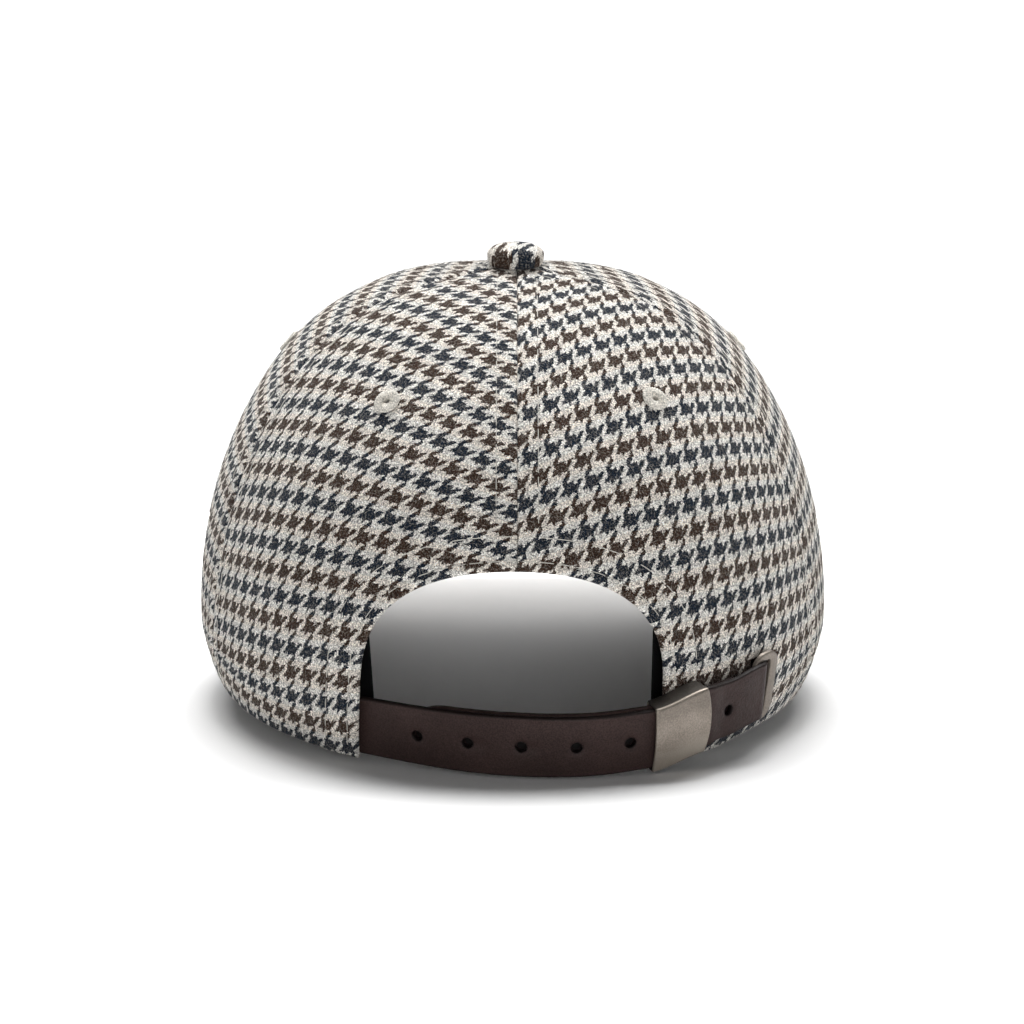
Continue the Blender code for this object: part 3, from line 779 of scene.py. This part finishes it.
def panel_sides(first, second, askew, feet, droop):
    """A right-hand panel's sides: low and high run to the right, left and right run up. The seam
    at the centre back is moved to the left by askew."""
    if first > 0:
        left, right = (meridian(seam, rim_height(seam) + HEM_ROLL, beside)
                       for seam, beside in ((first, SEAM_ROLL), (second, -SEAM_ROLL)))
        return rim_line(left[0], right[0]), onto_crown(np.linspace(left[-1], right[-1], 20)), left, right
    low = arch_line(HEM_ROLL, feet, askew - SEAM_ROLL)
    left = meridian(first, low[0, 2], SEAM_ROLL - askew)
    seam = meridian(second, HEM_ROLL, -SEAM_ROLL)
    high = np.concatenate((onto_crown(np.linspace(left[-1], seam[-1], 20)), seam[-2::-1]))
    return low, high, left, rim_line(low[-1], seam[0], droop)


def groove(distance, at, width, depth):
    return -depth * np.exp(-((distance - at) / width) ** 2)


def panel_relief(points, lines, back):
    """How far the face stands out: pressed seams, turned cloth, stitch lines and unevenness."""
    low, high, left, right = lines
    edges = ((left, SEAM_RELIEF), (high, SEAM_RELIEF), (low, HEM_RELIEF)) if back else (
        (left, SEAM_RELIEF), (right, SEAM_RELIEF))
    from_button = np.hypot(points[..., 0], points[..., 1])
    relief = CROWN_PEAK * np.exp(-(from_button / PEAK_REACH) ** 2) + UNEVEN * soft_noise(points, WAVE_SIZE)
    for line, (width, lift, pressed, rows, depth) in edges:
        distance, along = distance_to(points, line)
        pull = 0.7 + 0.3 * np.cos(2 * np.pi * along / STITCH_PITCH)
        relief += lift * (1.0 - ease((distance - width) / LIFT_FADE))
        relief += groove(distance, 0.0, PRESSED_WIDTH, pressed)
        relief += sum(groove(distance, row, GROOVE_WIDTH, depth) for row in rows) * pull
    return relief


def panel_weave(degrees, shift, twist):
    """A function from points to the cloth's own coordinates in mm: across and up the panel. With a
    twist, its rows turn further down to the right the higher they are."""
    out, along = spoke(degrees)
    middle = meridian(degrees, 0.0004, steps=1200)
    profile = stack(middle @ out, middle[:, 2])
    lengths = running_length(profile)
    tangent = unit(np.gradient(profile, axis=0))

    def weave(points):
        flat = stack(points @ out, points[:, 2])
        nearest = np.concatenate([
            ((part[:, None] - profile[None]) ** 2).sum(-1).argmin(1)
            for part in np.array_split(flat, max(1, len(flat) // 2000))])
        apart = flat - profile[nearest]
        up = lengths[nearest] + (apart * tangent[nearest]).sum(-1)
        across = points @ along
        bend = 2 * np.arctan2(np.linalg.norm(apart, axis=-1), np.abs(across) + 1e-9)
        across = across * np.where(bend > 0.001, bend / np.sin(bend.clip(0.001)), 1.0)
        across, up = across / MM, up / MM
        return stack(across + shift, up + twist * across * (up - WEAVE_LEVEL), 0.0)

    return weave


def panel_cutters(panel):
    """The hole under each eyelet, and the slot for the strap's tip."""
    cutters = [peg("eyelet_hole", crown_frame(degrees, EYELET_HEIGHT), circle(24, EYELET_HOLE), 0.004)
               for name, degrees in EYELETS if name == panel]
    if panel == "back_right":
        slot = rounded_loop(CLOTH_SLOT, 0.0006, CLOTH_SLOT_CENTRE)
        cutters.append(peg("slot", crown_frame(SLOT_ANGLE, SLOT_HEIGHT), slot, 0.006))
    return cutters


def build_panel(name, first, second, columns, rows, side, tweed):
    """Returns the panel's outer face, for what is sewn onto it."""
    if side == "right":
        sides = panel_sides(first, second, BACK_SEAM_X, ARCH_FEET, RIM_DROOP)
    else:
        sides = panel_sides(first, second, -BACK_SEAM_X, -ARCH_FEET, 0.0)
    lines = [line_through(points) for points in sides]
    low, high, left, right = (length_of(line) for line in lines)
    along, up = crowded_shares(columns, (low + high) / 2), crowded_shares(rows, (left + right) / 2)
    outer = onto_crown(coons(*lines, along, up))
    normals = crown_normal(outer)
    inner = outer - normals * CLOTH_WALL
    outer = outer + normals * panel_relief(outer, lines, first == 0)[..., None]
    seam = SEAM_ROLL + 0.00005
    reaches = [HEM_ROLL, HEM_ROLL if first == 0 else seam, seam, seam]
    if side == "left":
        outer, inner = outer[:, ::-1] * (-1, 1, 1), inner[:, ::-1] * (-1, 1, 1)
        reaches[1], reaches[3] = reaches[3], reaches[1]
    panel = f"{name}_{side}"
    node = f"panel_{panel}"
    weave = panel_weave(WEAVE_MIDDLE[panel], WEAVE_SHIFT[name], WEAVE_TWIST.get(panel, 0.0))
    dress("cloth_" + node, shell(node, outer, inner, reaches), tweed, [node],
          panel_cutters(panel), weave)
    return outer


def faces_tree(grids):
    points, faces = [], []
    for grid in grids:
        faces += grid_faces(numbered(*grid.shape[:2]) + len(points))
        points += grid.reshape(-1, 3).tolist()
    return BVHTree.FromPolygons(points, faces)


def onto_cloth(tree, points, normals, reach=0.004):
    """Moves points along their normals onto the cloth's real face."""
    moved = points.copy()
    for place in np.ndindex(points.shape[:-1]):
        out = Vector(normals[place])
        found = tree.ray_cast(Vector(points[place]) + out * reach, -out, 2 * reach)
        if found[0]:
            moved[place] = found[0]
    return moved


# ---- Loose fibres

FIBRES = 2600  # on each panel
FIBRE_RADIUS = 0.000028
FIBRE_LENGTHS = (0.0006, 0.0019)
FIBRE_RISES = (0.12, 0.75)  # out of the cloth, for each step along it
FIBRE_BENDS = (-0.5, 0.35)
FIBRE_SEED = 7
FIBRE_FACES = ((0, 1, 4, 3), (1, 2, 5, 4), (2, 0, 3, 5), (3, 4, 6), (4, 5, 6), (5, 3, 6), (2, 1, 0))


def fibre_rings(roots, normals, draw):
    """Bent fibres that stand out of the cloth: a root, a middle and a tip for each."""
    sideways = unit(np.cross(normals, draw.normal(size=roots.shape)))
    length, rise, bend = (draw.uniform(*ends, size=(len(roots), 1))
                          for ends in (FIBRE_LENGTHS, FIBRE_RISES, FIBRE_BENDS))
    first, second = unit(sideways + normals * rise), unit(sideways + normals * (rise + bend))
    middle = roots + first * length * 0.5
    tip = middle + second * length * 0.5
    across = unit(np.cross(first, normals))
    rings = [rings_round(at, across, normals, circle(3, FIBRE_RADIUS))
             for at in (roots - normals * 0.0001, middle)]
    return np.concatenate((*rings, tip[:, None]), 1)


def build_fuzz(wool, grids):
    """Loose wool over the panels, seen best along the outline."""
    draw = np.random.default_rng(FIBRE_SEED)
    for number, grid in enumerate(grids):
        row, column = (draw.integers(size - 1, size=FIBRES) for size in grid.shape[:2])
        along, up = draw.uniform(size=(FIBRES, 2, 1)).swapaxes(0, 1)
        low, high = (grid[at, column] * (1 - along) + grid[at, column + 1] * along for at in (row, row + 1))
        roots = low * (1 - up) + high * up
        rings = fibre_rings(roots, crown_normal(roots), draw)
        name = f"fuzz_{number}"
        dress(name, new_mesh(name, rings, copies(FIBRE_FACES, FIBRES, rings.shape[1])), wool)


# ---- Stitching

def stitch_row(points, tree, normals_at, trim):
    """Short stitches along a line, as rings of points. Each dips into the cloth at its ends."""
    line = line_through(points)
    length = length_of(line)
    count = int((length - 2 * trim) / STITCH_PITCH)
    starts = (length - count * STITCH_PITCH) / 2 + STITCH_PITCH * np.arange(count)
    at = (starts[:, None] + STITCH_LENGTH * np.linspace(0.0, 1.0, len(STITCH_SHAPE))) / length
    middle = line(at.ravel()).reshape(*at.shape, 3)
    normals = normals_at(middle)
    middle = onto_cloth(tree, middle, normals) + normals * STITCH_SHAPE[None, :, None]
    tangent = unit(np.gradient(middle, axis=1))
    side = unit(np.cross(tangent, normals))
    return rings_round(middle, side, np.cross(side, tangent), circle(6, STITCH_RADIUS))


def sew(name, rows, thread):
    """All the stitches of some rows in one piece."""
    rings = np.concatenate(rows)
    count, steps, sides = rings.shape[:3]
    mesh = new_mesh(name, rings, copies(tube_faces(steps, sides), count, steps * sides))
    dress(name, mesh, thread)


def build_seam_stitches(thread, tree):
    """A row on each side of each seam of the crown."""
    for number, degrees in enumerate((0.0, 70.0, 125.0, 180.0, -125.0, -70.0)):
        low, askew = rim_height(degrees) + 0.0012, 0.0
        if degrees == 0:
            low, askew = ARCH_SPRING + ARCH_RISE + HEM_WIDTH - 0.0005, -BACK_SEAM_X
        rows = [stitch_row(meridian(degrees, low, askew + beside), tree, crown_normal, 0.0003)
                for beside in (-SEAM_STITCH, SEAM_STITCH)]
        sew(f"stitches_seam_{number}", rows, thread)


def build_arch_stitches(thread, tree):
    """Two rows round the back opening, down to the rim."""
    rows = []
    for distance in ARCH_STITCHES:
        right, left = arch_line(distance, ARCH_FEET), arch_line(distance, -ARCH_FEET) * (-1, 1, 1)
        rows.append(stitch_row(np.concatenate((left[:0:-1], right)), tree, crown_normal, 0.0012))
    sew("stitches_arch", rows, thread)


# ---- Button and eyelets

BUTTON_FOOT = 0.0064  # the radius of its underside
BUTTON_LOW = 0.0008  # the height of its underside
BUTTON_WIDEST = 0.004  # and of its fullest part
BUTTON_TOP = 0.0071
BUTTON_CHECKS = (0.43, 0.86)  # the checks' scale down and along its side
BUTTON_SHIFT = (-0.74, -0.55)  # mm, of the checks
BUTTON_DARK = (4.0, 4.8)  # dark threads of eight, down and along its side


def button_profile():
    """Radii and heights from the stem up to the top."""
    under = np.pi / 2 * np.arange(-9, 0) / 10
    over = np.pi / 2 * np.arange(14) / 13.2
    return np.concatenate((
        [(0.0008, 0.0), (0.0034, 0.0), (0.0036, 0.001), (BUTTON_FOOT, BUTTON_LOW)],
        stack(BUTTON_FOOT + (BUTTON_RADIUS - BUTTON_FOOT) * np.cos(under) ** 0.8,
              BUTTON_WIDEST + (BUTTON_WIDEST - BUTTON_LOW) * np.sin(under)),
        stack(BUTTON_RADIUS * np.cos(over) ** 0.76,
              BUTTON_WIDEST + (BUTTON_TOP - BUTTON_WIDEST) * np.sin(over))))


def build_button(tweed):
    """A cloth-covered dome with a full, round edge and soft gathers under it."""
    turns, gathers = -once_round(96), 14
    radius, height = button_profile().T[..., None]
    radius = radius * (1.0 + 0.012 * np.cos(gathers * turns) * np.maximum(0.0, 1.0 - height / 0.003))
    rings = stack(radius * np.cos(turns) + BUTTON_X, radius * np.sin(turns),
                  CROWN_HEIGHT + BUTTON_GAP + height)
    dress("cloth_top_button", loft("top_button", rings), tweed, ["top_button"],
          weave=button_weave)


def button_weave(points):
    """The cloth lies a quarter turn round on the button, and is pulled down over its edge."""
    profile = button_profile()[::-1]
    drawn = profile[0, 0] + running_length(profile)
    points = points - (BUTTON_X, 0.0, CROWN_HEIGHT + BUTTON_GAP)
    radius = np.maximum(np.hypot(points[:, 0], points[:, 1]), 0.00001)
    nearest = ((stack(radius, points[:, 2])[:, None] - profile[None]) ** 2).sum(-1).argmin(1)
    down = drawn[nearest] / MM * -points[:, 1] / radius * BUTTON_CHECKS[0]
    aside = (1.0 + 0.3 * (1.0 - points[:, 2] / BUTTON_TOP)) * -points[:, 0] / MM * BUTTON_CHECKS[1]
    return stack(down + BUTTON_SHIFT[0], aside + BUTTON_SHIFT[1], 0.0)


def build_eyelets(thread):
    """Satin-stitched rings: a ridge for every stitch, over a barrel through the cloth."""
    turns, stitches = -once_round(168), 28
    ridge = 0.5 + 0.5 * np.cos(stitches * turns)
    turn = once_round(22)[:, None]
    half = (EYELET_RADIUS - EYELET_BORE) / 2
    radius = EYELET_BORE + half - half * signed_power(np.cos(turn), 0.8)
    barrel = 0.0024 * (1 - (radius - EYELET_BORE) / half / 2)
    height = np.sin(turn) * np.where(np.sin(turn) > 0, 0.00085 * (0.74 + 0.26 * ridge), barrel)
    radius = radius - 0.00012 * ridge * np.cos(turn)
    for panel, degrees in EYELETS:
        name = f"eyelet_{panel}"
        rings = in_frame(crown_frame(degrees, EYELET_HEIGHT), radius * np.cos(turns),
                         radius * np.sin(turns), height + 0.0002)
        dress("thread_" + name, loft(name, rings, closed=True), thread, [name])


# ---- Visor and sweatband

def visor_inner(across):
    degrees = 180.0 + VISOR_SPREAD * across
    edge = crown_point(degrees, rim_height(degrees))
    return edge - unit(edge * (1, 1, 0)) * VISOR_INSET


def visor_outer(across):
    turn = np.pi / 2 * across
    corner_y = visor_inner(1.0)[1]
    x = VISOR_HALF_WIDTH * signed_power(np.sin(turn), 2 / VISOR_POWER)
    y = corner_y - (VISOR_REACH + corner_y) * np.cos(turn) ** (2 / VISOR_POWER)
    low = VISOR_CENTRE_LOW + (VISOR_SIDE_LOW - VISOR_CENTRE_LOW) * (x / VISOR_HALF_WIDTH) ** 2
    return stack(x, y, ease((corner_y - y) / VISOR_DROOP_RUN) * low)


def build_visor(tweed, thread):
    """Its rows of stitches run only where it is wide enough."""
    across = np.sin(np.pi / 2 * np.linspace(-1.0, 1.0, 150)) * VISOR_END
    out, sewn = visor_outer(across), visor_inner(across)
    roll = VISOR_WALL / 2
    out = out + unit(sewn - out) * roll
    share = crowded_shares(60, 0.068)[:, None, None]
    top = out[None] * (1 - share) + sewn[None] * share - (0.0, 0.0, FIT_GAP)
    normals = grid_normals(top)
    from_edge = np.linalg.norm(top - top[:1], axis=-1)
    relief = sum(groove(from_edge, row, 0.0007, 0.0003) for row in VISOR_STITCHES)
    face = top + normals * relief[..., None]
    dress("cloth_visor", shell("visor", face, top - normals * VISOR_WALL, [roll] * 4), tweed,
          ["visor"], weave=lambda points: points / MM * (1, 1, 0))
    rows, tree = [], faces_tree([face])
    for row in VISOR_STITCHES:
        wide = from_edge[-1] > row + 0.0025
        line = (top[0] + unit(top[-1] - top[0]) * row)[wide]
        near, over = tree_of(line), normals[1][wide]

        def normals_at(points):
            return for_each(points, lambda point: over[near.find(point)[1]])

        rows.append(stitch_row(line, tree, normals_at, 0.001))
    sew("stitches_visor", rows, thread)


def build_sweatband(band):
    degrees = np.linspace(BAND_TABLE[0][0], BAND_TABLE[-1][0], 260)
    low = beside_crown(degrees, rim_height(degrees) + BAND_LOW, from_table(BAND_TABLE, degrees))
    high = beside_crown(degrees, BAND_TOP, BAND_INSET)
    share = np.linspace(0.0, 1.0, 20)[:, None, None]
    face = low[None] * (1 - share) + high[None] * share
    normals = grid_normals(face)
    puckers = 0.00018 * np.sin(running_length(low) / 0.0045)[None, :, None] * share ** 2
    outer = face + normals * (puckers - 0.0002)

    def weave(points):
        around = np.degrees(np.arctan2(-points[:, 0], points[:, 1])) % 360
        return stack(around * 1.6, points[:, 2] / MM, 0.0)

    mesh = shell("sweatband", outer, face - normals * BAND_WALL, [0.0004] * 4)
    dress("cloth_sweatband", mesh, band, ["sweatband"], weave=weave)


# ---- Strap

HOLE_ARCS = [FIRST_HOLE + HOLE_PITCH * number for number in range(HOLE_COUNT)] + [TIP_HOLE]
HOLE_DENT = (0.00035, 0.0021)  # depth and radius
PULLED_HOLES = {1: 0.00045, 2: 0.0004}  # number from 0, depth of the dent where it has been pulled
PULLED_AT = 0.003  # along the strap from the hole
PULLED_SIZE = (0.002, 0.0016)
EDGE_CREASE = (0.0001, 0.0014, 0.00035)  # depth, distance from the strap's edge and width
STRAP_CORNER = 0.0006
# how dark the strap's edges are: edge paint, and painted shade along its top edge
EDGE_PAINT_AND_SHADE = 0.7
INSIDE_FACE = STRAP_WALL / 2 + FIT_GAP  # of the sleeve
INSIDE_BACK = INSIDE_FACE - UNDERLAY_DEPTH - STRAP_WALL - 2 * FIT_GAP
INSIDE_WIDTH = STRAP_WIDTH / 2 + FIT_GAP
SLEEVE_LIP = 0.16  # degrees over which each end is eased
SLEEVE_BULGE = 0.0009  # its front is proud in its middle
END_BOW = 0.0009  # its tip-side end is bowed outwards
HIGHLIGHT_WIDTH = 0.00022  # the width of the painted highlight along its edges
EDGE_HIGHLIGHT = 0.5  # how bright that painted highlight is
LOW_HIGHLIGHT = 0.75  # painted light: its front is lighter towards its lower edge
HIGH_SHADE = 0.3  # and painted shade makes it darker towards its upper one
# how much darker the slot frame's metal is all over
FRAME_DARKER = 0.35
FRAME_EASED = 0.00035  # the slot frame's front edges
SHARP = math.radians(50)  # a metal edge that turns by more is drawn sharp


def strap_middle(degrees):
    height, offset = from_table(STRAP_TABLE, degrees, 2), from_table(STRAP_TABLE, degrees)
    foot, head = (beside_crown(degrees, height + rise, offset)
                  for rise in (-STRAP_WIDTH / 2, STRAP_WIDTH / 2))
    return (foot + head) / 2, unit(head - foot)


def strap_axes(degrees, turn=0.5):
    """The strap's middle line and its directions along, up and out of its face."""
    middle, up = strap_middle(degrees)
    along = unit(strap_middle(degrees + turn)[0] - strap_middle(degrees - turn)[0])
    out = unit(np.cross(along, up))
    return middle, np.cross(up, out), up, out


def strap_scale(steps=900):
    """Angles along the strap and their arc length from the centre back."""
    degrees = np.linspace(STRAP_TABLE[0][0], STRAP_TABLE[-1][0], steps)
    arc = running_length(strap_middle(degrees)[0])
    return degrees, arc - np.interp(0.0, degrees, arc)


def oblong(half_width, low, high, corner, count=35, steps=4):
    """A closed section of (up, out) points: its top and bottom corners are rounded."""
    flat = half_width - corner
    ups = np.linspace(-flat, flat, count)
    turns = np.pi / 2 * np.arange(1, steps) / steps
    c, s = corner * np.cos(turns), corner * np.sin(turns)
    levels = np.array((high - corner, high - corner - 0.0004, low + corner))
    edge = np.concatenate((stack(flat + s, high - corner + c), stack(half_width, levels),
                           stack(flat + c, low + corner - s)))
    return np.concatenate((stack(ups, high), edge, stack(ups[::-1], low), edge[::-1] * (-1, 1)))


def sweep(degrees, sections):
    """Rings of points along the strap's line from a section at each angle."""
    middle, _, up, out = strap_axes(degrees)
    return rings_round(middle, up, out, sections)


def hole_frames():
    degrees, arcs = strap_scale()
    frames = []
    for arc in HOLE_ARCS:
        middle, along, up, out = strap_axes(np.interp(arc, arcs, degrees))
        low = TIP_HOLE_LOW if arc == TIP_HOLE else 0.0
        frames.append(np.stack((along, up, out, middle - up * low), 1))
    return frames


def tip_share(degrees):
    """The strap's share of its full width, which is less at its tip."""
    return 1.0 - TIP_NARROWER * ease((degrees - TIP_STARTS) / TIP_EASED)


def shade_and_edge_paint(points, edges=0.0):
    """Painted shade darkens the leather in and round its holes, on the strap and on the underlay seen through
    them; edge paint, which also paints shade along the top edge, darkens the strap's edges.
    """
    dark = np.zeros(len(points))
    for frame in hole_frames():
        apart = np.hypot(*((points - frame[:, 3]) @ frame[:, :2]).T)
        dark = np.maximum(dark, 1.0 - ease((apart - HOLE_RADIUS + 0.0001) / 0.0004))
    degrees = crown_place(points)[0]
    middle, up = strap_middle(degrees)
    beyond = np.abs(((points - middle) * up).sum(-1)) - STRAP_WIDTH / 2 * tip_share(degrees)
    return stack(np.maximum(dark, edges * ease((beyond + 0.0006) / 0.0004)), 0.0, 0.0)


def strap_sections(depth, widths):
    """The strap's sections at a depth, each with a share of its full width."""
    section = oblong(STRAP_WIDTH / 2, -STRAP_WALL / 2 - depth, STRAP_WALL / 2 - depth, STRAP_CORNER)
    return section * stack(widths, 1.0)[:, None]


def build_strap(leather):
    """The long strap. Its face sinks a little round each hole, and beside the used ones."""
    scale, arcs = strap_scale()
    arc = np.linspace(arcs[0], arcs[-1], int((arcs[-1] - arcs[0]) / 0.0005))
    degrees = np.interp(arc, arcs, scale)
    sections = strap_sections(0.0, tip_share(degrees))
    up, front = sections[..., 0], sections[..., 1] > STRAP_WALL / 2 - 0.0001
    crease, inset, width = EDGE_CREASE
    sink = crease * np.exp(-((np.abs(up) - STRAP_WIDTH / 2 + inset) / width) ** 2)
    for number, centre in enumerate(HOLE_ARCS):
        beside = arc[:, None] - centre
        sink += HOLE_DENT[0] * np.exp(-((np.hypot(beside, up) / HOLE_DENT[1]) ** 4))
        pulled = np.exp(-((beside - PULLED_AT) / PULLED_SIZE[0]) ** 2 - (up / PULLED_SIZE[1]) ** 2)
        sink += PULLED_HOLES.get(number, 0.0) * pulled
    sections[..., 1] -= np.where(front, sink, 0.0)
    holes = [peg("strap_hole", frame, circle(24, HOLE_RADIUS), 0.003) for frame in hole_frames()]
    # the weave map carries painted shade round the holes, and the edge paint
    dress("leather_strap", loft("strap", sweep(degrees, sections)), leather, ["strap"],
          holes, lambda points: shade_and_edge_paint(points, EDGE_PAINT_AND_SHADE))


def build_underlay(leather):
    """The short strap, with a pointed free end."""
    start, end = UNDERLAY_ENDS
    rounded = start + UNDERLAY_ROUNDED * (1 - np.cos(np.linspace(0.0, np.pi / 2, 14)))
    degrees = np.concatenate((rounded, np.linspace(start + UNDERLAY_ROUNDED, end, 130)[1:]))
    left = 1.0 - np.clip((degrees - start) / UNDERLAY_ROUNDED, 0.0, 1.0)
    widths = (0.35 + 0.65 * np.sqrt(1.0 - left ** 2)) * (
        1.0 - UNDERLAY_NARROWER * ease((degrees - TIP_STARTS + 2.0) / TIP_EASED))
    sections = strap_sections(UNDERLAY_DEPTH, widths)
    # painted shade where the underlay shows through the strap's holes
    dress("leather_underlay", loft("strap_underlay", sweep(degrees, sections)), leather,
          ["strap_underlay"], weave=shade_and_edge_paint)


def sleeve_section(grow):
    """The sleeve's outer section for 1 and its inner one for 0."""
    half = INSIDE_WIDTH + SLEEVE_EDGE * grow
    points = oblong(half, INSIDE_BACK - SLEEVE_FACE * grow, INSIDE_FACE + SLEEVE_FACE * grow,
                    0.0003 + 0.0003 * grow)
    bow = SLEEVE_BULGE * (1 - (points[:, 0] / half) ** 2)
    points[:, 1] += np.where(points[:, 1] > INSIDE_FACE - 0.0002, bow, 0.0)
    return points


def sleeve_light_and_shade(sections, lips):
    """Painted highlights and painted shade on the sleeve: a bright line along its edges and ends, its front
    lighter towards its lower edge and darker towards its upper one, and its top and bottom faces darker.
    """
    from_corner = INSIDE_WIDTH + SLEEVE_EDGE - np.abs(sections[..., 0])
    front, rise = sections[..., 1] > INSIDE_FACE, 1.3 * sections[..., 0] / INSIDE_WIDTH
    line = np.maximum(np.exp(-(from_corner / HIGHLIGHT_WIDTH) ** 2), lips)
    brightened = np.where(front, np.maximum(EDGE_HIGHLIGHT * line, LOW_HIGHLIGHT * ease(-rise - 0.1)), 0.0)
    darkened = np.where(front, HIGH_SHADE * ease(rise - 0.1) * (1 - line), from_corner < 0.0004)
    return stack(brightened, darkened, 0.0).reshape(-1, 3)


def build_sleeve(metal):
    """A tube of oblong section with a bowed front, bent along the straps."""
    start, end = SLEEVE_ENDS
    wall = np.concatenate((
        [start + SLEEVE_LIP], np.linspace(start, end, 24)[1:-1], [end - SLEEVE_LIP]))
    degrees = np.concatenate(([start, start], wall, [end, end], wall[::-1]))
    grown = np.array([0.15, 0.75] + [1.0] * len(wall) + [0.75, 0.15] + [0.0] * len(wall))
    sections = np.array([sleeve_section(grow) for grow in grown])
    bow = END_BOW * (1.0 - (sections[..., 0] / INSIDE_WIDTH) ** 2).clip(0.0)
    bow = bow * ease((degrees - np.mean(SLEEVE_ENDS)) / np.ptp(SLEEVE_ENDS) * 2.0)[:, None]
    rings = sweep(degrees, sections) + strap_axes(degrees)[1][:, None] * bow[..., None]
    mesh = loft("buckle_sleeve", rings, closed=True)
    mesh.set_sharp_from_angle(angle=SHARP)
    # painted highlights and painted shade, carried by the weave map
    painted_light = sleeve_light_and_shade(sections, ((grown > 0.0) & (grown < 1.0))[:, None])
    dress("metal_buckle_sleeve", mesh, metal, ["buckle_sleeve"], weave=lambda points: painted_light)


def build_slot_frame(metal):
    """A flat ring with eased edges on the cloth, round the slot for the strap's tip."""
    base, top = FIT_GAP, FIT_GAP + FRAME_PLATE
    steps = [(0.0, base)] + [(FRAME_EASED * share, top - FRAME_EASED * less)
                             for share, less in ((0.0, 1.0), (0.3, 0.3), (1.0, 0.0))]
    loops = [(rounded_loop(FRAME_SIZE, FRAME_CORNER, FRAME_CENTRE, -inset), z) for inset, z in steps]
    loops += [(rounded_loop(SLOT_OPENING, SLOT_CORNER, SLOT_CENTRE, grow), z) for grow, z in steps[::-1]]
    frame = crown_frame(SLOT_ANGLE, SLOT_HEIGHT)
    mesh = loft("slot_frame", np.array([in_frame(frame, *loop.T, z) for loop, z in loops]), closed=True)
    mesh.set_sharp_from_angle(angle=SHARP)
    # the slot frame is darker all over, by the weave map's y
    dress("metal_slot_frame", mesh, metal, ["slot_frame"],
          weave=lambda points: np.tile((0.0, FRAME_DARKER, 0.0), (len(points), 1)))


# ---- Stage

LENS = 122.9
SENSOR = 36.0
CAMERA_DISTANCE = 1.0
CAMERA_RISE = 15.8  # degrees over the rim's plane
CAMERA_TARGET = (0.0, 0.0, 0.04)
PHOTO_SIZE = 1024
PHOTO_CENTRE = (512.7, 520.4)  # the pixel that shows the target
FLOOR_SIZE = 80.0
SUNS = (  # name, azimuth from the visor's side towards +X, elevation, strength, softness
    ("key", 0, 64, 2.6, 22),
    ("key_left", 30, 58, 1.7, 22),
    ("key_right", -30, 58, 1.7, 22),
    ("fill", 190, 4, 1.25, 36),
)
WORLD_STRENGTH = 0.13


def build_camera():
    data = bpy.data.cameras.new("camera")
    data.lens = LENS
    data.sensor_width = SENSOR
    data.shift_x = (PHOTO_SIZE / 2 - PHOTO_CENTRE[0]) / PHOTO_SIZE
    data.shift_y = (PHOTO_CENTRE[1] - PHOTO_SIZE / 2) / PHOTO_SIZE
    rise = math.radians(CAMERA_RISE)
    back = Vector((0.0, math.cos(rise), math.sin(rise)))
    right = Vector((-1.0, 0.0, 0.0))
    axes = Matrix((right, back.cross(right), back)).transposed().to_4x4()
    axes.translation = Vector(CAMERA_TARGET) + back * CAMERA_DISTANCE
    camera = add_object("camera", data)
    camera.matrix_world = SEAT @ axes
    bpy.context.scene.camera = camera


def build_floor():
    look = Look("pale_floor", (0.76, 0.76, 0.76), {"Roughness": 0.9})
    corners = [(x * FLOOR_SIZE / 2, y * FLOOR_SIZE / 2, 0.0) for x, y in ((-1, -1), (1, -1), (1, 1), (-1, 1))]
    mesh = new_mesh("floor", corners, [(0, 1, 2, 3)])
    mesh.materials.append(look.material)
    add_object("floor", mesh)


def add_light(name, kind, energy, turn, **settings):
    data = bpy.data.lights.new(name, kind)
    data.energy = energy
    for setting, value in settings.items():
        setattr(data, setting, value)
    light = add_object(name, data)
    light.rotation_euler = turn
    return light


def build_lights():
    """Soft suns from above and behind, and a panel under the visor, itself unseen."""
    for name, azimuth, elevation, strength, softness in SUNS:
        turn = (math.radians(90 - elevation), 0.0, math.radians(azimuth))
        add_light(name, "SUN", strength, turn, angle=math.radians(softness))
    place = Vector((0.0, -0.24, 0.02))
    panel = add_light("under_visor", "AREA", 1.0, (-place).to_track_quat("-Z", "Y").to_euler(),
                      shape="RECTANGLE", size=0.3, size_y=0.04)
    panel.location = place
    panel.visible_camera = False
    world = bpy.data.worlds.new("studio")
    world.use_nodes = True
    background = world.node_tree.nodes["Background"].inputs
    background["Color"].default_value = (1.0, 1.0, 1.0, 1.0)
    background["Strength"].default_value = WORLD_STRENGTH
    bpy.context.scene.world = world
    bpy.context.scene.view_settings.view_transform = "Standard"


SEAT = find_seat(frame["nodes"]["top_button"])

build_camera()
build_floor()
build_lights()

TWEED = tweed_material("tweed")
THREAD = thread_material("topstitch_thread", (0.66, 0.63, 0.57))
WOOL = thread_material("loose_wool", (0.5, 0.47, 0.43))
EYELET_THREAD = thread_material("eyelet_thread", (0.88, 0.84, 0.76), 2400.0, (0.42, 1.34), 0.0004)
LEATHER = leather_material("leather")
METAL = metal_material("antique_nickel")
BAND = band_material("band_twill")

FACES = [build_panel(*panel, side, TWEED) for panel in PANELS for side in ("right", "left")]
CLOTH = faces_tree(FACES)
build_fuzz(WOOL, FACES)
build_seam_stitches(THREAD, CLOTH)
build_arch_stitches(THREAD, CLOTH)
build_button(tweed_material("button_tweed", BUTTON_DARK))
build_eyelets(EYELET_THREAD)
build_visor(TWEED, THREAD)
build_sweatband(BAND)
build_strap(LEATHER)
build_underlay(LEATHER)
build_sleeve(METAL)
build_slot_frame(METAL)
